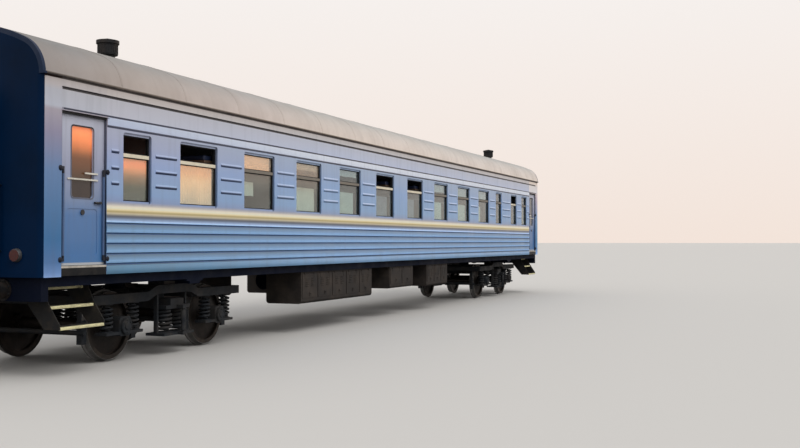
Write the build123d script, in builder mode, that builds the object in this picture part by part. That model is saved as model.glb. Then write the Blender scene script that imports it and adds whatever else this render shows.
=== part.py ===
from build123d import *
from math import atan2, degrees
import os

os.makedirs("parts", exist_ok=True)

# A passenger sleeping coach. X runs along the coach, -Y is the compartment side,
# +Y the corridor side, Z is up, and Z = 0 is where the flange tips stand.
# End a is at -X, end b at +X. Millimetres.

# Body shell: end a to the first compartment, the compartments, the last one to end b
end_a_length = 2406
end_b_length = 5246
compartment_count = 9
window_pitch = 1772
body_width = 3060
wall = 80
end_wall = 80
roof_wall = 60
flange = 28
side_bottom_z = flange + 1225
pier_bottom_z = flange + 1215
floor_z = flange + 1345
floor_thick = 100
gutter_z = flange + 3640
apex_z = flange + 4360
shoulder_r = 500
corner_r = 90

# Corrugated lower side, cornice and pier ribs
rib_lowest_z = flange + 1357
rib_pitch = 131.5
rib_count = 5
groove_height = 22
groove_depth = 14
rib_swell = 8
cornice_bottom_z = flange + 3139
cornice_top_z = flange + 3260
cornice_proud = 10
eaves_line_z = flange + 3520
eaves_line_depth = 8
gutter_proud = 18
gutter_height = 26
gutter_seat = 40
pier_rib_heights = (flange + 2406, flange + 2607, flange + 2822)
pier_rib_proud = 12
pier_rib_height = 60
pier_rib_margin = 90
plain_piers = (6,)
drip_height = 30
drip_proud = 22
drip_overhang = 30

# Windows. Those of the ends as columns: centre from their own end of the body, width
window_bottom_z = flange + 2150
window_top_z = flange + 3087
window_corner_r = 45
wide_window = 990
narrow_window = 620
end_a_windows = [(1810, narrow_window)]
end_b_windows = [(4650, narrow_window), (3025, 650), (1810, narrow_window)]
end_b_corridor_windows = [(3900, wide_window), (2100, narrow_window)]
frame_width = 32
frame_depth = 60
frame_fit = 0.3
sash_height = 48
sash_z = flange + 2790
glass_thick = 8
frame_inset = 20

# Side doors
doorway_start = 330
doorway_width = 840
doorway_top_z = flange + 3237
door_gap = 6
door_thick = 40
door_inset = 40
door_hinge_gap = 7
knuckle_r = 12
knuckle_offset = 14
knuckle_height = 60
knuckle_leaf = 45
knuckle_fit = 0.3
door_glass_width = 400
door_glass_bottom_z = flange + 2193
door_glass_top_z = flange + 3074
door_panel_width = 560
door_panel_depth = 6
door_panel_low = 120
door_panel_below_glass = 140
door_bar_z = flange + 2420
door_bar_overlap = 80
short_bar_z = flange + 2500
short_bar_length = 240
door_lock_r = 34
door_lock_proud = 12
door_lock_z = flange + 2010
door_lever_r = 14
door_lever_length = 130
door_lever_post_r = 18
door_lever_proud = 34
door_lever_z = flange + 2135
door_lever_inset = 90
rail_bar_r = 15
rail_bar_bottom_z = flange + 1400
rail_bar_top_z = flange + 2560
rail_bar_inset = 44

# Gangway doors and gangways
gangway_door_width = 800
gangway_door_top_z = flange + 3345
end_door_thick = 40
end_glass_width = 400
end_glass_height = 700
end_glass_bottom_z = flange + 2350
gangway_frame = 240
gangway_frame_depth = 40
portal_gap = 40
roll_depth = 360
roll_width = 210
roll_corner_r = 260
plate_thick = 12
plate_reach = 320
plate_width = 760

# Running gear
bogie_overhang = 3300
bogie_wheelbase = 2400
tread_r = 475
back_to_back = 1440
wheel_width = 130
axle_r = 82
journal_r = 65
journal_centre = 1018
axle_length = 2230
hub_r = 135
hub_length = 178
rim_depth = 65
web_thick = 30
web_dish = 30
bearing_fit = 0.4

# Inside
corridor_wall_y = 640
partition_thick = 30
ceiling_z = gutter_z - 30
panel_seat = 0.3

body_length = end_a_length + compartment_count * window_pitch + end_b_length
half_length = body_length / 2
half_width = body_width / 2
inner_half_width = half_width - wall
bogie_centre = half_length - bogie_overhang
wheel_z = flange + tread_r

# Windows of both sides, as columns: centre from end a, width
compartment_centres = [end_a_length + (index + 0.5) * window_pitch for index in range(compartment_count)]
wide_windows = [(place, wide_window) for place in compartment_centres]
compartment_side_windows = end_a_windows + wide_windows
compartment_side_windows += [(body_length - place, width) for place, width in end_b_windows]
corridor_side_windows = list(wide_windows)
corridor_side_windows += [(body_length - place, width) for place, width in end_b_corridor_windows]


def save(piece, label):
    piece.label = label
    export_step(piece, f"parts/{label}.step")


def arch_outline(inset):
    """Roof edge line from the right gutter over the crown to the left one, moved in by inset."""
    radius = shoulder_r - inset
    run = half_width - shoulder_r
    rise = apex_z - gutter_z
    crown_r = (run**2 + rise**2 - shoulder_r**2) / (2 * (rise - shoulder_r))
    crown_centre_z = apex_z - crown_r
    turn = degrees(atan2(gutter_z - crown_centre_z, run))
    CenterArc((run, gutter_z), radius, 0, turn)
    CenterArc((0, crown_centre_z), crown_r - inset, turn, 180 - 2 * turn)
    CenterArc((-run, gutter_z), radius, 180 - turn, turn)


def wall_outline():
    """Outer skin line of the side wall, in the (out, up) plane, with its pressed ribs."""
    grooves = [rib_lowest_z + index * rib_pitch for index in range(rib_count)]
    bottom = (half_width, side_bottom_z)
    for groove in grooves:
        lower = (half_width, groove - groove_height / 2)
        upper = (half_width, groove + groove_height / 2)
        valley = (half_width - groove_depth, groove)
        middle = (half_width + rib_swell, (bottom[1] + lower[1]) / 2)
        ThreePointArc(bottom, middle, lower)
        Line(lower, valley)
        Line(valley, upper)
        bottom = upper
    Polyline(
        bottom,
        (half_width, cornice_bottom_z),
        (half_width + cornice_proud, cornice_bottom_z + cornice_proud),
        (half_width + cornice_proud, cornice_top_z - cornice_proud),
        (half_width, cornice_top_z),
        (half_width, eaves_line_z - eaves_line_depth),
        (half_width - eaves_line_depth, eaves_line_z),
        (half_width, eaves_line_z + eaves_line_depth),
        (half_width, gutter_z),
        (inner_half_width, gutter_z),
        (inner_half_width, side_bottom_z),
        (half_width, side_bottom_z),
    )


def side_wall(windows, ribless_piers):
    """One side wall, standing on the +Y side, with its windows cut and ribs on its piers."""
    panel_start = doorway_start + doorway_width
    panel_length = body_length - 2 * panel_start
    lintel_length = body_length - 2 * doorway_start
    with BuildPart() as panel:
        with BuildSketch(Plane.YZ.offset(-panel_length / 2)):
            with BuildLine():
                wall_outline()
            make_face()
        extrude(amount=panel_length)
        with BuildSketch(Plane.YZ.offset(-lintel_length / 2)):
            with BuildLine():
                Polyline(
                    (inner_half_width, doorway_top_z),
                    (half_width, doorway_top_z),
                    (half_width, eaves_line_z - eaves_line_depth),
                    (half_width - eaves_line_depth, eaves_line_z),
                    (half_width, eaves_line_z + eaves_line_depth),
                    (half_width, gutter_z),
                    (inner_half_width, gutter_z),
                    close=True,
                )
            make_face()
        extrude(amount=lintel_length)
        for end in (1, -1):
            drip_length = doorway_width + drip_overhang
            with BuildSketch(Plane.XZ.offset(-half_width)):
                with Locations((end * (half_length - doorway_start - drip_length / 2), doorway_top_z)):
                    Rectangle(drip_length, drip_height, align=(Align.CENTER, Align.MIN))
            extrude(amount=-drip_proud)
        with BuildSketch(Plane.XZ.offset(-inner_half_width)):
            for centre, width in windows:
                with Locations((centre - half_length, (window_bottom_z + window_top_z) / 2)):
                    RectangleRounded(width, window_top_z - window_bottom_z, window_corner_r)
        extrude(amount=-2 * wall, mode=Mode.SUBTRACT)
        edges_x = [panel_start]
        for centre, width in windows:
            edges_x += [centre - width / 2, centre + width / 2]
        edges_x.append(body_length - panel_start)
        for index, (left, right) in enumerate(zip(edges_x[0::2], edges_x[1::2])):
            length = right - left - 2 * pier_rib_margin
            if length < pier_rib_margin or index in ribless_piers:
                continue
            with BuildSketch(Plane.YZ.offset(left + pier_rib_margin - half_length)):
                for height in pier_rib_heights:
                    with BuildLine():
                        Polyline(
                            (half_width, height + pier_rib_height / 2),
                            (half_width + pier_rib_proud, height - pier_rib_height / 8),
                            (half_width, height - pier_rib_height / 2),
                            close=True,
                        )
                    make_face()
            extrude(amount=length)
    return panel.part


corridor_side = side_wall(corridor_side_windows, ())
save(corridor_side, "side_wall_corridor")
compartment_side = mirror(side_wall(compartment_side_windows, plain_piers), about=Plane.XZ)
save(compartment_side, "side_wall_compartment")

# Roof shell with the gutters along its edges
with BuildPart() as roof:
    with BuildSketch(Plane.YZ.offset(-half_length)):
        with BuildLine():
            arch_outline(0)
            Line((-half_width, gutter_z), (-half_width + roof_wall, gutter_z))
            arch_outline(roof_wall)
            Line((half_width - roof_wall, gutter_z), (half_width, gutter_z))
        make_face()
    extrude(amount=body_length)
    with BuildSketch(Plane.YZ.offset(-half_length)):
        for side in (1, -1):
            with Locations((side * (half_width + gutter_proud / 2 - gutter_seat / 2),
                            gutter_z + gutter_height / 2)):
                Rectangle(gutter_proud + gutter_seat, gutter_height)
    extrude(amount=body_length)
save(roof.part, "roof")

# Capped round ventilators on the crown: a neck, a drum and a lid
vent_a_place = 3100
vent_b_place = 700
vent_neck_r = 110
vent_drum_r = 150
vent_lid_r = 172
vent_neck_top = 130
vent_lid_bottom = 300
vent_lid_top = 350
vent_top = 390
with BuildPart() as roof_vents:
    for vent_x in (vent_a_place - half_length, half_length - vent_b_place):
        with BuildSketch(Plane.XZ):
            with BuildLine():
                Polyline(
                    (vent_x, apex_z + panel_seat),
                    (vent_x + vent_neck_r, apex_z + panel_seat),
                    (vent_x + vent_neck_r, apex_z + vent_neck_top),
                    (vent_x + vent_drum_r, apex_z + vent_neck_top),
                    (vent_x + vent_drum_r, apex_z + vent_lid_bottom),
                    (vent_x + vent_lid_r, apex_z + vent_lid_bottom),
                    (vent_x + vent_lid_r, apex_z + vent_lid_top),
                    (vent_x, apex_z + vent_top),
                    close=True,
                )
            make_face()
        revolve(axis=Axis((vent_x, 0, 0), (0, 0, 1)))
save(roof_vents.part, "roof_vents")


def end_wall_part():
    """The wall at end b: an end plate with its gangway doorway, two corner piers and the gable."""
    with BuildPart() as end:
        with BuildSketch(Plane.XY.offset(pier_bottom_z)):
            with Locations((half_length - doorway_start / 2, 0)):
                Rectangle(doorway_start, body_width)
        extrude(amount=gutter_z - pier_bottom_z)
        corners = end.edges().filter_by(Axis.Z).group_by(Axis.X)[-1]
        fillet(corners, corner_r)
        with BuildSketch(Plane.XY.offset(pier_bottom_z)):
            with Locations((half_length - end_wall - (doorway_start - end_wall) / 2, 0)):
                Rectangle(doorway_start - end_wall, 2 * inner_half_width)
        extrude(amount=gutter_z - pier_bottom_z, mode=Mode.SUBTRACT)
        with BuildSketch(Plane.YZ.offset(half_length - end_wall)):
            with BuildLine():
                arch_outline(roof_wall)
                Line((-half_width + roof_wall, gutter_z), (half_width - roof_wall, gutter_z))
            make_face()
        extrude(amount=end_wall)
        with BuildSketch(Plane.YZ.offset(half_length - 2 * end_wall)):
            with Locations((0, floor_z)):
                Rectangle(gangway_door_width, gangway_door_top_z - floor_z,
                          align=(Align.CENTER, Align.MIN))
        extrude(amount=3 * end_wall, mode=Mode.SUBTRACT)
    return end.part


end_b = end_wall_part()
save(end_b, "end_wall_b")
end_a = mirror(end_wall_part(), about=Plane.YZ)
save(end_a, "end_wall_a")

# Floor deck between the walls, over the underframe
with BuildPart() as floor_deck:
    with BuildSketch(Plane.XY.offset(floor_z - floor_thick)):
        Rectangle(body_length - 2 * end_wall, 2 * inner_half_width)
    extrude(amount=floor_thick)
save(floor_deck.part, "floor_deck")

# Door sills under the four doors
sill_height = floor_z - side_bottom_z
with BuildPart() as door_sills:
    for end in (1, -1):
        for side in (1, -1):
            with BuildSketch(Plane.XY.offset(side_bottom_z)):
                with Locations((end * (half_length - doorway_start - doorway_width / 2),
                                side * (inner_half_width + wall / 2))):
                    Rectangle(doorway_width, wall)
            extrude(amount=sill_height)
save(door_sills.part, "door_sills")

# Underframe: channels as centre sills, solebars and cross bearers, body bolsters, headstocks
underframe_top_z = floor_z - floor_thick
sill_depth = 150
centre_sill_y = 180
centre_sill_width = 90
solebar_width = 90
bearer_width = 90
bearer_pitch = 1700
channel_web = 14
channel_flange = 16
bolster_width = 420
bolster_depth = 180
headstock_depth = 320
headstock_thick = 120
pivot_r = 150
pivot_depth = 200
pad_size = 260
pad_depth = 40
solebar_y = inner_half_width - solebar_width / 2
sill_middle_z = underframe_top_z - sill_depth / 2
channel_room = sill_depth - 2 * channel_flange
with BuildPart() as underframe:
    with BuildSketch(Plane.YZ.offset(-half_length + end_wall)):
        for side in (1, -1):
            with Locations((side * centre_sill_y, sill_middle_z)):
                Rectangle(centre_sill_width, sill_depth)
            with Locations((side * (centre_sill_y + channel_web / 2), sill_middle_z)):
                Rectangle(centre_sill_width - channel_web, channel_room, mode=Mode.SUBTRACT)
            with Locations((side * solebar_y, sill_middle_z)):
                Rectangle(solebar_width, sill_depth)
            with Locations((side * (solebar_y - channel_web / 2), sill_middle_z)):
                Rectangle(solebar_width - channel_web, channel_room, mode=Mode.SUBTRACT)
    extrude(amount=body_length - 2 * end_wall)
    bearer_count = int((2 * bogie_centre - bolster_width) // bearer_pitch)
    bearer_length = 2 * inner_half_width - channel_web
    with BuildSketch(Plane.XZ.offset(-bearer_length / 2)):
        with GridLocations(bearer_pitch, 1, bearer_count, 1):
            with Locations((0, sill_middle_z)):
                Rectangle(bearer_width, sill_depth)
            with Locations((channel_web / 2, sill_middle_z)):
                Rectangle(bearer_width - channel_web, channel_room, mode=Mode.SUBTRACT)
    extrude(amount=bearer_length)
    for end in (1, -1):
        with BuildSketch(Plane.XY.offset(underframe_top_z)):
            with Locations((end * bogie_centre, 0)):
                Rectangle(bolster_width, 2 * inner_half_width)
        extrude(amount=-bolster_depth)
        with BuildSketch(Plane.XY.offset(underframe_top_z)):
            with Locations((end * (half_length - end_wall - headstock_thick / 2), 0)):
                Rectangle(headstock_thick, 2 * inner_half_width)
        extrude(amount=-headstock_depth)
        with BuildSketch(Plane.XY.offset(underframe_top_z - bolster_depth)):
            with Locations((end * bogie_centre, 0)):
                Circle(pivot_r)
        extrude(amount=-pivot_depth)
        with BuildSketch(Plane.XY.offset(underframe_top_z - bolster_depth)):
            for side in (1, -1):
                with Locations((end * bogie_centre, side * (inner_half_width - pad_size / 2))):
                    Rectangle(pad_size, pad_size)
        extrude(amount=-pad_depth)
save(underframe.part, "underframe")

# Inner walls: bulkheads, compartment partitions and the panels along the corridor
bulkhead_start = doorway_start + doorway_width + 90
end_b_partitions = (3840, 2350)
partition_places = [bulkhead_start]
partition_places += [end_a_length + index * window_pitch for index in range(compartment_count + 1)]
partition_places += [body_length - place for place in end_b_partitions]
partition_places += [body_length - bulkhead_start]
inner_door_width = 620
inner_door_top_z = floor_z + 1950
panel_edges = [bulkhead_start + partition_thick / 2 + panel_seat]
for left, right in zip(partition_places, partition_places[1:]):
    panel_edges += [(left + right - inner_door_width) / 2, (left + right + inner_door_width) / 2]
panel_edges.append(body_length - bulkhead_start - partition_thick / 2 - panel_seat)
with BuildPart() as corridor_wall:
    with BuildSketch(Plane.XZ.offset(-corridor_wall_y)):
        for left, right in zip(panel_edges[0::2], panel_edges[1::2]):
            with Locations((left - half_length, floor_z)):
                Rectangle(right - left, ceiling_z - floor_z, align=(Align.MIN, Align.MIN))
        for left, right in zip(panel_edges[1::2], panel_edges[2::2]):
            with Locations((left - half_length + panel_seat, inner_door_top_z)):
                Rectangle(right - left - 2 * panel_seat, ceiling_z - inner_door_top_z,
                          align=(Align.MIN, Align.MIN))
    extrude(amount=-partition_thick)
save(corridor_wall.part, "corridor_wall")

partition_depth = corridor_wall_y + inner_half_width
with BuildPart() as partitions:
    for place in partition_places[1:-1]:
        with BuildSketch(Plane.YZ.offset(place - half_length - partition_thick / 2)):
            with Locations(((corridor_wall_y - inner_half_width) / 2, (floor_z + ceiling_z) / 2)):
                Rectangle(partition_depth, ceiling_z - floor_z)
        extrude(amount=partition_thick)
save(partitions.part, "partitions")

bulkhead_door_y = (corridor_wall_y + partition_thick + inner_half_width) / 2
with BuildPart() as bulkheads:
    for end in (1, -1):
        with BuildSketch(Plane.YZ.offset(end * (half_length - bulkhead_start) - partition_thick / 2)):
            with Locations((0, (floor_z + ceiling_z) / 2)):
                Rectangle(2 * inner_half_width, ceiling_z - floor_z)
            with Locations((bulkhead_door_y, floor_z)):
                Rectangle(inner_door_width, inner_door_top_z - floor_z,
                          align=(Align.CENTER, Align.MIN), mode=Mode.SUBTRACT)
        extrude(amount=partition_thick)
save(bulkheads.part, "bulkheads")

with BuildPart() as ceiling:
    with BuildSketch(Plane.XY.offset(ceiling_z)):
        Rectangle(body_length - 2 * end_wall, 2 * inner_half_width)
    extrude(amount=gutter_z - ceiling_z)
save(ceiling.part, "ceiling")

# Berths: a lower bench and an upper bunk on each side of every compartment
berth_width = 560
berth_length = 1780
bench_height = 340
cushion_thick = 90
bunk_height = 1500
bunk_thick = 40
berth_wall_gap = 45
berth_start_y = -inner_half_width + berth_wall_gap
berth_clearance = 0.3
cushion_inset = 5
with BuildPart() as berth_frames:
    for place in compartment_centres:
        middle = place - half_length
        reach = window_pitch / 2 - partition_thick / 2
        for side in (1, -1):
            berth_x = middle + side * (reach - berth_width / 2)
            with BuildSketch(Plane.XY.offset(floor_z)):
                with Locations((berth_x, berth_start_y + berth_length / 2)):
                    Rectangle(berth_width, berth_length)
            extrude(amount=bench_height)
            with BuildSketch(Plane.XY.offset(floor_z + bunk_height)):
                with Locations((berth_x, berth_start_y + berth_length / 2)):
                    Rectangle(berth_width, berth_length)
            extrude(amount=bunk_thick)
save(berth_frames.part, "berth_frames")

with BuildPart() as berth_cushions:
    for place in compartment_centres:
        middle = place - half_length
        reach = window_pitch / 2 - partition_thick / 2
        for side in (1, -1):
            berth_x = middle + side * (reach - berth_width / 2)
            for seat_z in (floor_z + bench_height, floor_z + bunk_height + bunk_thick):
                with BuildSketch(Plane.XY.offset(seat_z + berth_clearance)):
                    with Locations((berth_x, berth_start_y + berth_length / 2)):
                        Rectangle(berth_width - 2 * cushion_inset, berth_length - 2 * cushion_inset)
                extrude(amount=cushion_thick)
save(berth_cushions.part, "berth_cushions")

# Small tables under the compartment windows, each on a leg
table_width = 520
table_depth = 620
table_z = floor_z + 760
table_thick = 30
table_leg = 50
with BuildPart() as tables:
    for place in compartment_centres:
        middle = place - half_length
        with BuildSketch(Plane.XY.offset(table_z)):
            with Locations((middle, -inner_half_width + table_depth / 2)):
                Rectangle(table_width, table_depth)
        extrude(amount=-table_thick)
        with BuildSketch(Plane.XY.offset(floor_z)):
            with Locations((middle, -inner_half_width + table_depth - 2 * table_leg)):
                Rectangle(table_leg, table_leg)
        extrude(amount=table_z - table_thick - floor_z)
save(tables.part, "tables")

# Window frames and panes, held in the wall's cut-outs
window_middle_z = (window_bottom_z + window_top_z) / 2
window_height = window_top_z - window_bottom_z


def window_frames(windows, side):
    """One side's frames, each a ring in its cut-out, with the sash bar across."""
    with BuildPart() as frames:
        with BuildSketch(Plane.XZ.offset(-side * (half_width - frame_inset))):
            for centre, width in windows:
                with Locations((centre - half_length, window_middle_z)):
                    RectangleRounded(width - 2 * frame_fit, window_height - 2 * frame_fit,
                                     window_corner_r)
                    Rectangle(width - 2 * frame_width, window_height - 2 * frame_width,
                              mode=Mode.SUBTRACT)
                with Locations((centre - half_length, sash_z)):
                    Rectangle(width - 2 * frame_width, sash_height)
        extrude(amount=side * frame_depth)
    return frames.part


frames_both = Compound(children=[window_frames(corridor_side_windows, 1),
                                 window_frames(compartment_side_windows, -1)])
save(frames_both, "window_frames")

# Panes sit in the frames, one above and one below the sash bar; some top panes are slid open
open_windows = (0, 1, 5, 6, 11)
pane_inset = 50
pane_fit = 0.3
with BuildPart() as window_glass:
    for windows, side in ((corridor_side_windows, 1), (compartment_side_windows, -1)):
        sash_top = sash_z + sash_height / 2
        sash_bottom = sash_z - sash_height / 2
        lower_pane = (window_bottom_z + frame_width, sash_bottom)
        upper_pane = (sash_top, window_top_z - frame_width)
        for index, (centre, width) in enumerate(windows):
            is_open = side < 0 and index in open_windows
            with BuildSketch(Plane.XZ.offset(-side * (half_width - pane_inset))):
                for low, high in (lower_pane,) if is_open else (lower_pane, upper_pane):
                    with Locations((centre - half_length, (low + high) / 2)):
                        Rectangle(width - 2 * frame_width - 2 * pane_fit, high - low - 2 * pane_fit)
            extrude(amount=side * glass_thick)
save(window_glass.part, "window_glass")

# Side doors, hinged on the coach-end side and opening inwards
door_outer_y = half_width - door_inset
door_inner_y = door_outer_y - door_thick
door_width = doorway_width - 2 * door_hinge_gap
door_bottom_z = floor_z + door_gap
door_top_z = doorway_top_z - door_gap
door_glass_fit = 0.3
door_bar_thick = 20
door_bar_proud = 14
side_doors = ((1, "b"), (-1, "a"))
knuckle_heights = (floor_z + 300, floor_z + 1500)
side_hinge_x = half_length - doorway_start - door_hinge_gap
side_hinge_y = door_inner_y - knuckle_offset


def side_door():
    """The door leaf of end b on the +Y side, closed, with its window cut and a guard bar."""
    door_middle_x = half_length - doorway_start - doorway_width / 2
    with BuildPart() as leaf:
        with BuildSketch(Plane.XZ.offset(-door_outer_y)):
            with Locations((door_middle_x, (door_bottom_z + door_top_z) / 2)):
                Rectangle(door_width, door_top_z - door_bottom_z)
            with Locations((door_middle_x, (door_glass_bottom_z + door_glass_top_z) / 2)):
                RectangleRounded(door_glass_width, door_glass_top_z - door_glass_bottom_z,
                                 window_corner_r, mode=Mode.SUBTRACT)
        extrude(amount=door_thick)
        panel_low = door_bottom_z + door_panel_low
        panel_height = door_glass_bottom_z - door_panel_below_glass - panel_low
        with BuildSketch(Plane.XZ.offset(-door_outer_y)):
            with Locations((door_middle_x, panel_low + panel_height / 2)):
                RectangleRounded(door_panel_width, panel_height, window_corner_r)
        extrude(amount=door_panel_depth, mode=Mode.SUBTRACT)
        with BuildSketch(Plane.XZ.offset(-door_outer_y)):
            with Locations((door_middle_x, door_bar_z)):
                Rectangle(door_glass_width + 2 * door_bar_overlap, door_bar_thick)
            with Locations((door_middle_x - door_glass_width / 2 - door_bar_overlap, short_bar_z)):
                Rectangle(short_bar_length, door_bar_thick, align=(Align.MIN, Align.CENTER))
        extrude(amount=-door_bar_proud)
        with BuildSketch(Plane.XZ.offset(-door_outer_y + door_panel_depth)):
            with Locations((door_middle_x, door_lock_z)):
                Circle(door_lock_r)
        extrude(amount=-door_panel_depth - door_lock_proud)
        lever_x = half_length - doorway_start - doorway_width + door_hinge_gap + door_lever_inset
        with BuildSketch(Plane.XZ.offset(-door_outer_y)):
            with Locations((lever_x, door_lever_z)):
                Circle(door_lever_post_r)
        extrude(amount=-door_lever_proud)
        with BuildSketch(Plane.YZ.offset(lever_x - door_lever_post_r)):
            with Locations((door_outer_y + door_lever_proud - door_lever_r, door_lever_z)):
                Circle(door_lever_r)
        extrude(amount=door_lever_length)
        for height in knuckle_heights:
            with BuildSketch(Plane.XY.offset(height)):
                with Locations((side_hinge_x, side_hinge_y)):
                    Circle(knuckle_r)
                    Rectangle(knuckle_leaf, knuckle_offset, align=(Align.MAX, Align.MIN))
            extrude(amount=knuckle_height)
    return leaf.part


def side_door_pane():
    """The pane in that door, as large as the cut-out less its seal."""
    door_middle_x = half_length - doorway_start - doorway_width / 2
    with BuildPart() as pane:
        with BuildSketch(Plane.XZ.offset(-door_outer_y + door_thick / 2)):
            with Locations((door_middle_x, (door_glass_bottom_z + door_glass_top_z) / 2)):
                RectangleRounded(door_glass_width - 2 * door_glass_fit,
                                 door_glass_top_z - door_glass_bottom_z - 2 * door_glass_fit,
                                 window_corner_r)
        extrude(amount=glass_thick)
    return pane.part


for end, end_name in side_doors:
    for side, side_name in ((-1, "compartment"), (1, "corridor")):
        leaf = side_door()
        pane = side_door_pane()
        if end < 0:
            leaf = mirror(leaf, about=Plane.YZ)
            pane = mirror(pane, about=Plane.YZ)
        if side < 0:
            leaf = mirror(leaf, about=Plane.XZ)
            pane = mirror(pane, about=Plane.XZ)
        save(leaf, f"side_door_{end_name}_{side_name}")
        save(pane, f"side_door_glass_{end_name}_{side_name}")

# Gangway doors, hinged at their inner face and opening inwards
end_door_width = gangway_door_width - 2 * door_hinge_gap
end_door_outer_x = half_length - end_wall * 3 / 4
end_door_inner_x = end_door_outer_x - end_door_thick
end_hinge_x = end_door_inner_x - knuckle_offset
end_hinge_y = gangway_door_width / 2 - door_hinge_gap
for end, end_name in side_doors:
    with BuildPart() as end_door:
        with BuildSketch(Plane.YZ.offset(end * end_door_outer_x)):
            with Locations((0, floor_z + door_gap)):
                Rectangle(end_door_width, gangway_door_top_z - floor_z - 2 * door_gap,
                          align=(Align.CENTER, Align.MIN))
            with Locations((0, end_glass_bottom_z)):
                Rectangle(end_glass_width, end_glass_height,
                          align=(Align.CENTER, Align.MIN), mode=Mode.SUBTRACT)
        extrude(amount=-end * end_door_thick)
        for height in knuckle_heights:
            with BuildSketch(Plane.XY.offset(height)):
                with Locations((end * end_hinge_x, end_hinge_y)):
                    Circle(knuckle_r)
                with Locations((end * (end_hinge_x + knuckle_offset / 2), end_hinge_y)):
                    Rectangle(knuckle_offset, knuckle_leaf, align=(Align.CENTER, Align.MAX))
            extrude(amount=knuckle_height)
    save(end_door.part, f"end_door_{end_name}")
    with BuildPart() as end_pane:
        with BuildSketch(Plane.YZ.offset(end * (end_door_outer_x - end_door_thick / 2))):
            with Locations((0, end_glass_bottom_z + door_glass_fit)):
                Rectangle(end_glass_width - 2 * door_glass_fit,
                          end_glass_height - 2 * door_glass_fit,
                          align=(Align.CENTER, Align.MIN))
        extrude(amount=-end * glass_thick)
    save(end_pane.part, f"end_door_glass_{end_name}")

# Fixed halves of the door hinges, each knuckle just below the leaf's own
with BuildPart() as door_hinges:
    for end in (1, -1):
        for height in knuckle_heights:
            with BuildSketch(Plane.XY.offset(height - knuckle_fit)):
                for side in (1, -1):
                    with Locations((end * side_hinge_x, side * side_hinge_y)):
                        Circle(knuckle_r)
                    with Locations((end * (side_hinge_x + knuckle_leaf / 2),
                                    side * (side_hinge_y + (knuckle_offset - panel_seat) / 2))):
                        Rectangle(knuckle_leaf, knuckle_offset - panel_seat)
                wall_reach = half_length - end_wall - end_hinge_x - panel_seat
                with Locations((end * end_hinge_x, end_hinge_y)):
                    Circle(knuckle_r)
                with Locations((end * (end_hinge_x + wall_reach / 2), end_hinge_y + knuckle_leaf / 2)):
                    Rectangle(wall_reach, knuckle_leaf)
            extrude(amount=-knuckle_height)
save(door_hinges.part, "door_hinges")

# Gangway: a steel portal round each doorway, and a rubber roll on it against the next coach
portal_inner_y = gangway_door_width / 2 + portal_gap
portal_bottom_z = pier_bottom_z + portal_gap
portal_inner_top_z = gangway_door_top_z + portal_gap
with BuildPart() as gangway_portals:
    for end in (1, -1):
        with BuildSketch(Plane.YZ.offset(end * (half_length + panel_seat))):
            with Locations((0, portal_bottom_z)):
                Rectangle(2 * (portal_inner_y + gangway_frame),
                          portal_inner_top_z + gangway_frame - portal_bottom_z,
                          align=(Align.CENTER, Align.MIN))
                Rectangle(2 * portal_inner_y, portal_inner_top_z - portal_bottom_z,
                          align=(Align.CENTER, Align.MIN), mode=Mode.SUBTRACT)
        extrude(amount=end * gangway_frame_depth)
save(gangway_portals.part, "gangway_portals")

roll_y = portal_inner_y + gangway_frame - roll_width / 2
roll_top_z = portal_inner_top_z + gangway_frame - roll_width / 2
roll_x = half_length + gangway_frame_depth + 2 * panel_seat + roll_depth / 2
with BuildPart() as gangway_rolls:
    for end in (1, -1):
        with BuildLine(Plane.YZ.offset(end * roll_x)):
            FilletPolyline(
                (roll_y, portal_bottom_z),
                (roll_y, roll_top_z),
                (-roll_y, roll_top_z),
                (-roll_y, portal_bottom_z),
                radius=roll_corner_r,
            )
        with BuildSketch(Plane.XY.offset(portal_bottom_z)):
            with Locations((end * roll_x, roll_y)):
                SlotOverall(roll_depth, roll_width)
        sweep()
save(gangway_rolls.part, "gangway_rolls")

with BuildPart() as gangway_plates:
    for end in (1, -1):
        with BuildSketch(Plane.XY.offset(floor_z + panel_seat - plate_thick)):
            with Locations((end * (half_length + plate_reach / 2 + panel_seat), 0)):
                Rectangle(plate_reach, plate_width)
        extrude(amount=plate_thick)
save(gangway_plates.part, "gangway_plates")

# Couplers: a shank out of each headstock and a claw head, level with the buffers
coupler_z = flange + 1060
coupler_reach = 470
coupler_height = 300
shank_height = 160
shank_width = 170
shank_length = 360
with BuildPart() as couplers:
    for end in (1, -1):
        start = half_length - end_wall + panel_seat
        with BuildSketch(Plane.XY.offset(coupler_z - shank_height / 2)):
            with Locations((end * (start + shank_length / 2), 0)):
                Rectangle(shank_length, shank_width)
        extrude(amount=shank_height)
        with BuildSketch(Plane.XY.offset(coupler_z - coupler_height / 2)):
            with BuildLine():
                tip = half_length + coupler_reach
                Polyline(
                    (end * (tip - 300), end * -90),
                    (end * (tip - 150), end * -210),
                    (end * tip, end * -210),
                    (end * tip, end * -120),
                    (end * (tip - 110), end * -80),
                    (end * (tip - 110), end * 60),
                    (end * (tip - 20), end * 110),
                    (end * tip, end * 190),
                    (end * (tip - 160), end * 190),
                    (end * (tip - 300), end * 90),
                    close=True,
                )
            make_face()
        extrude(amount=coupler_height)
save(couplers.part, "couplers")

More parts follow.
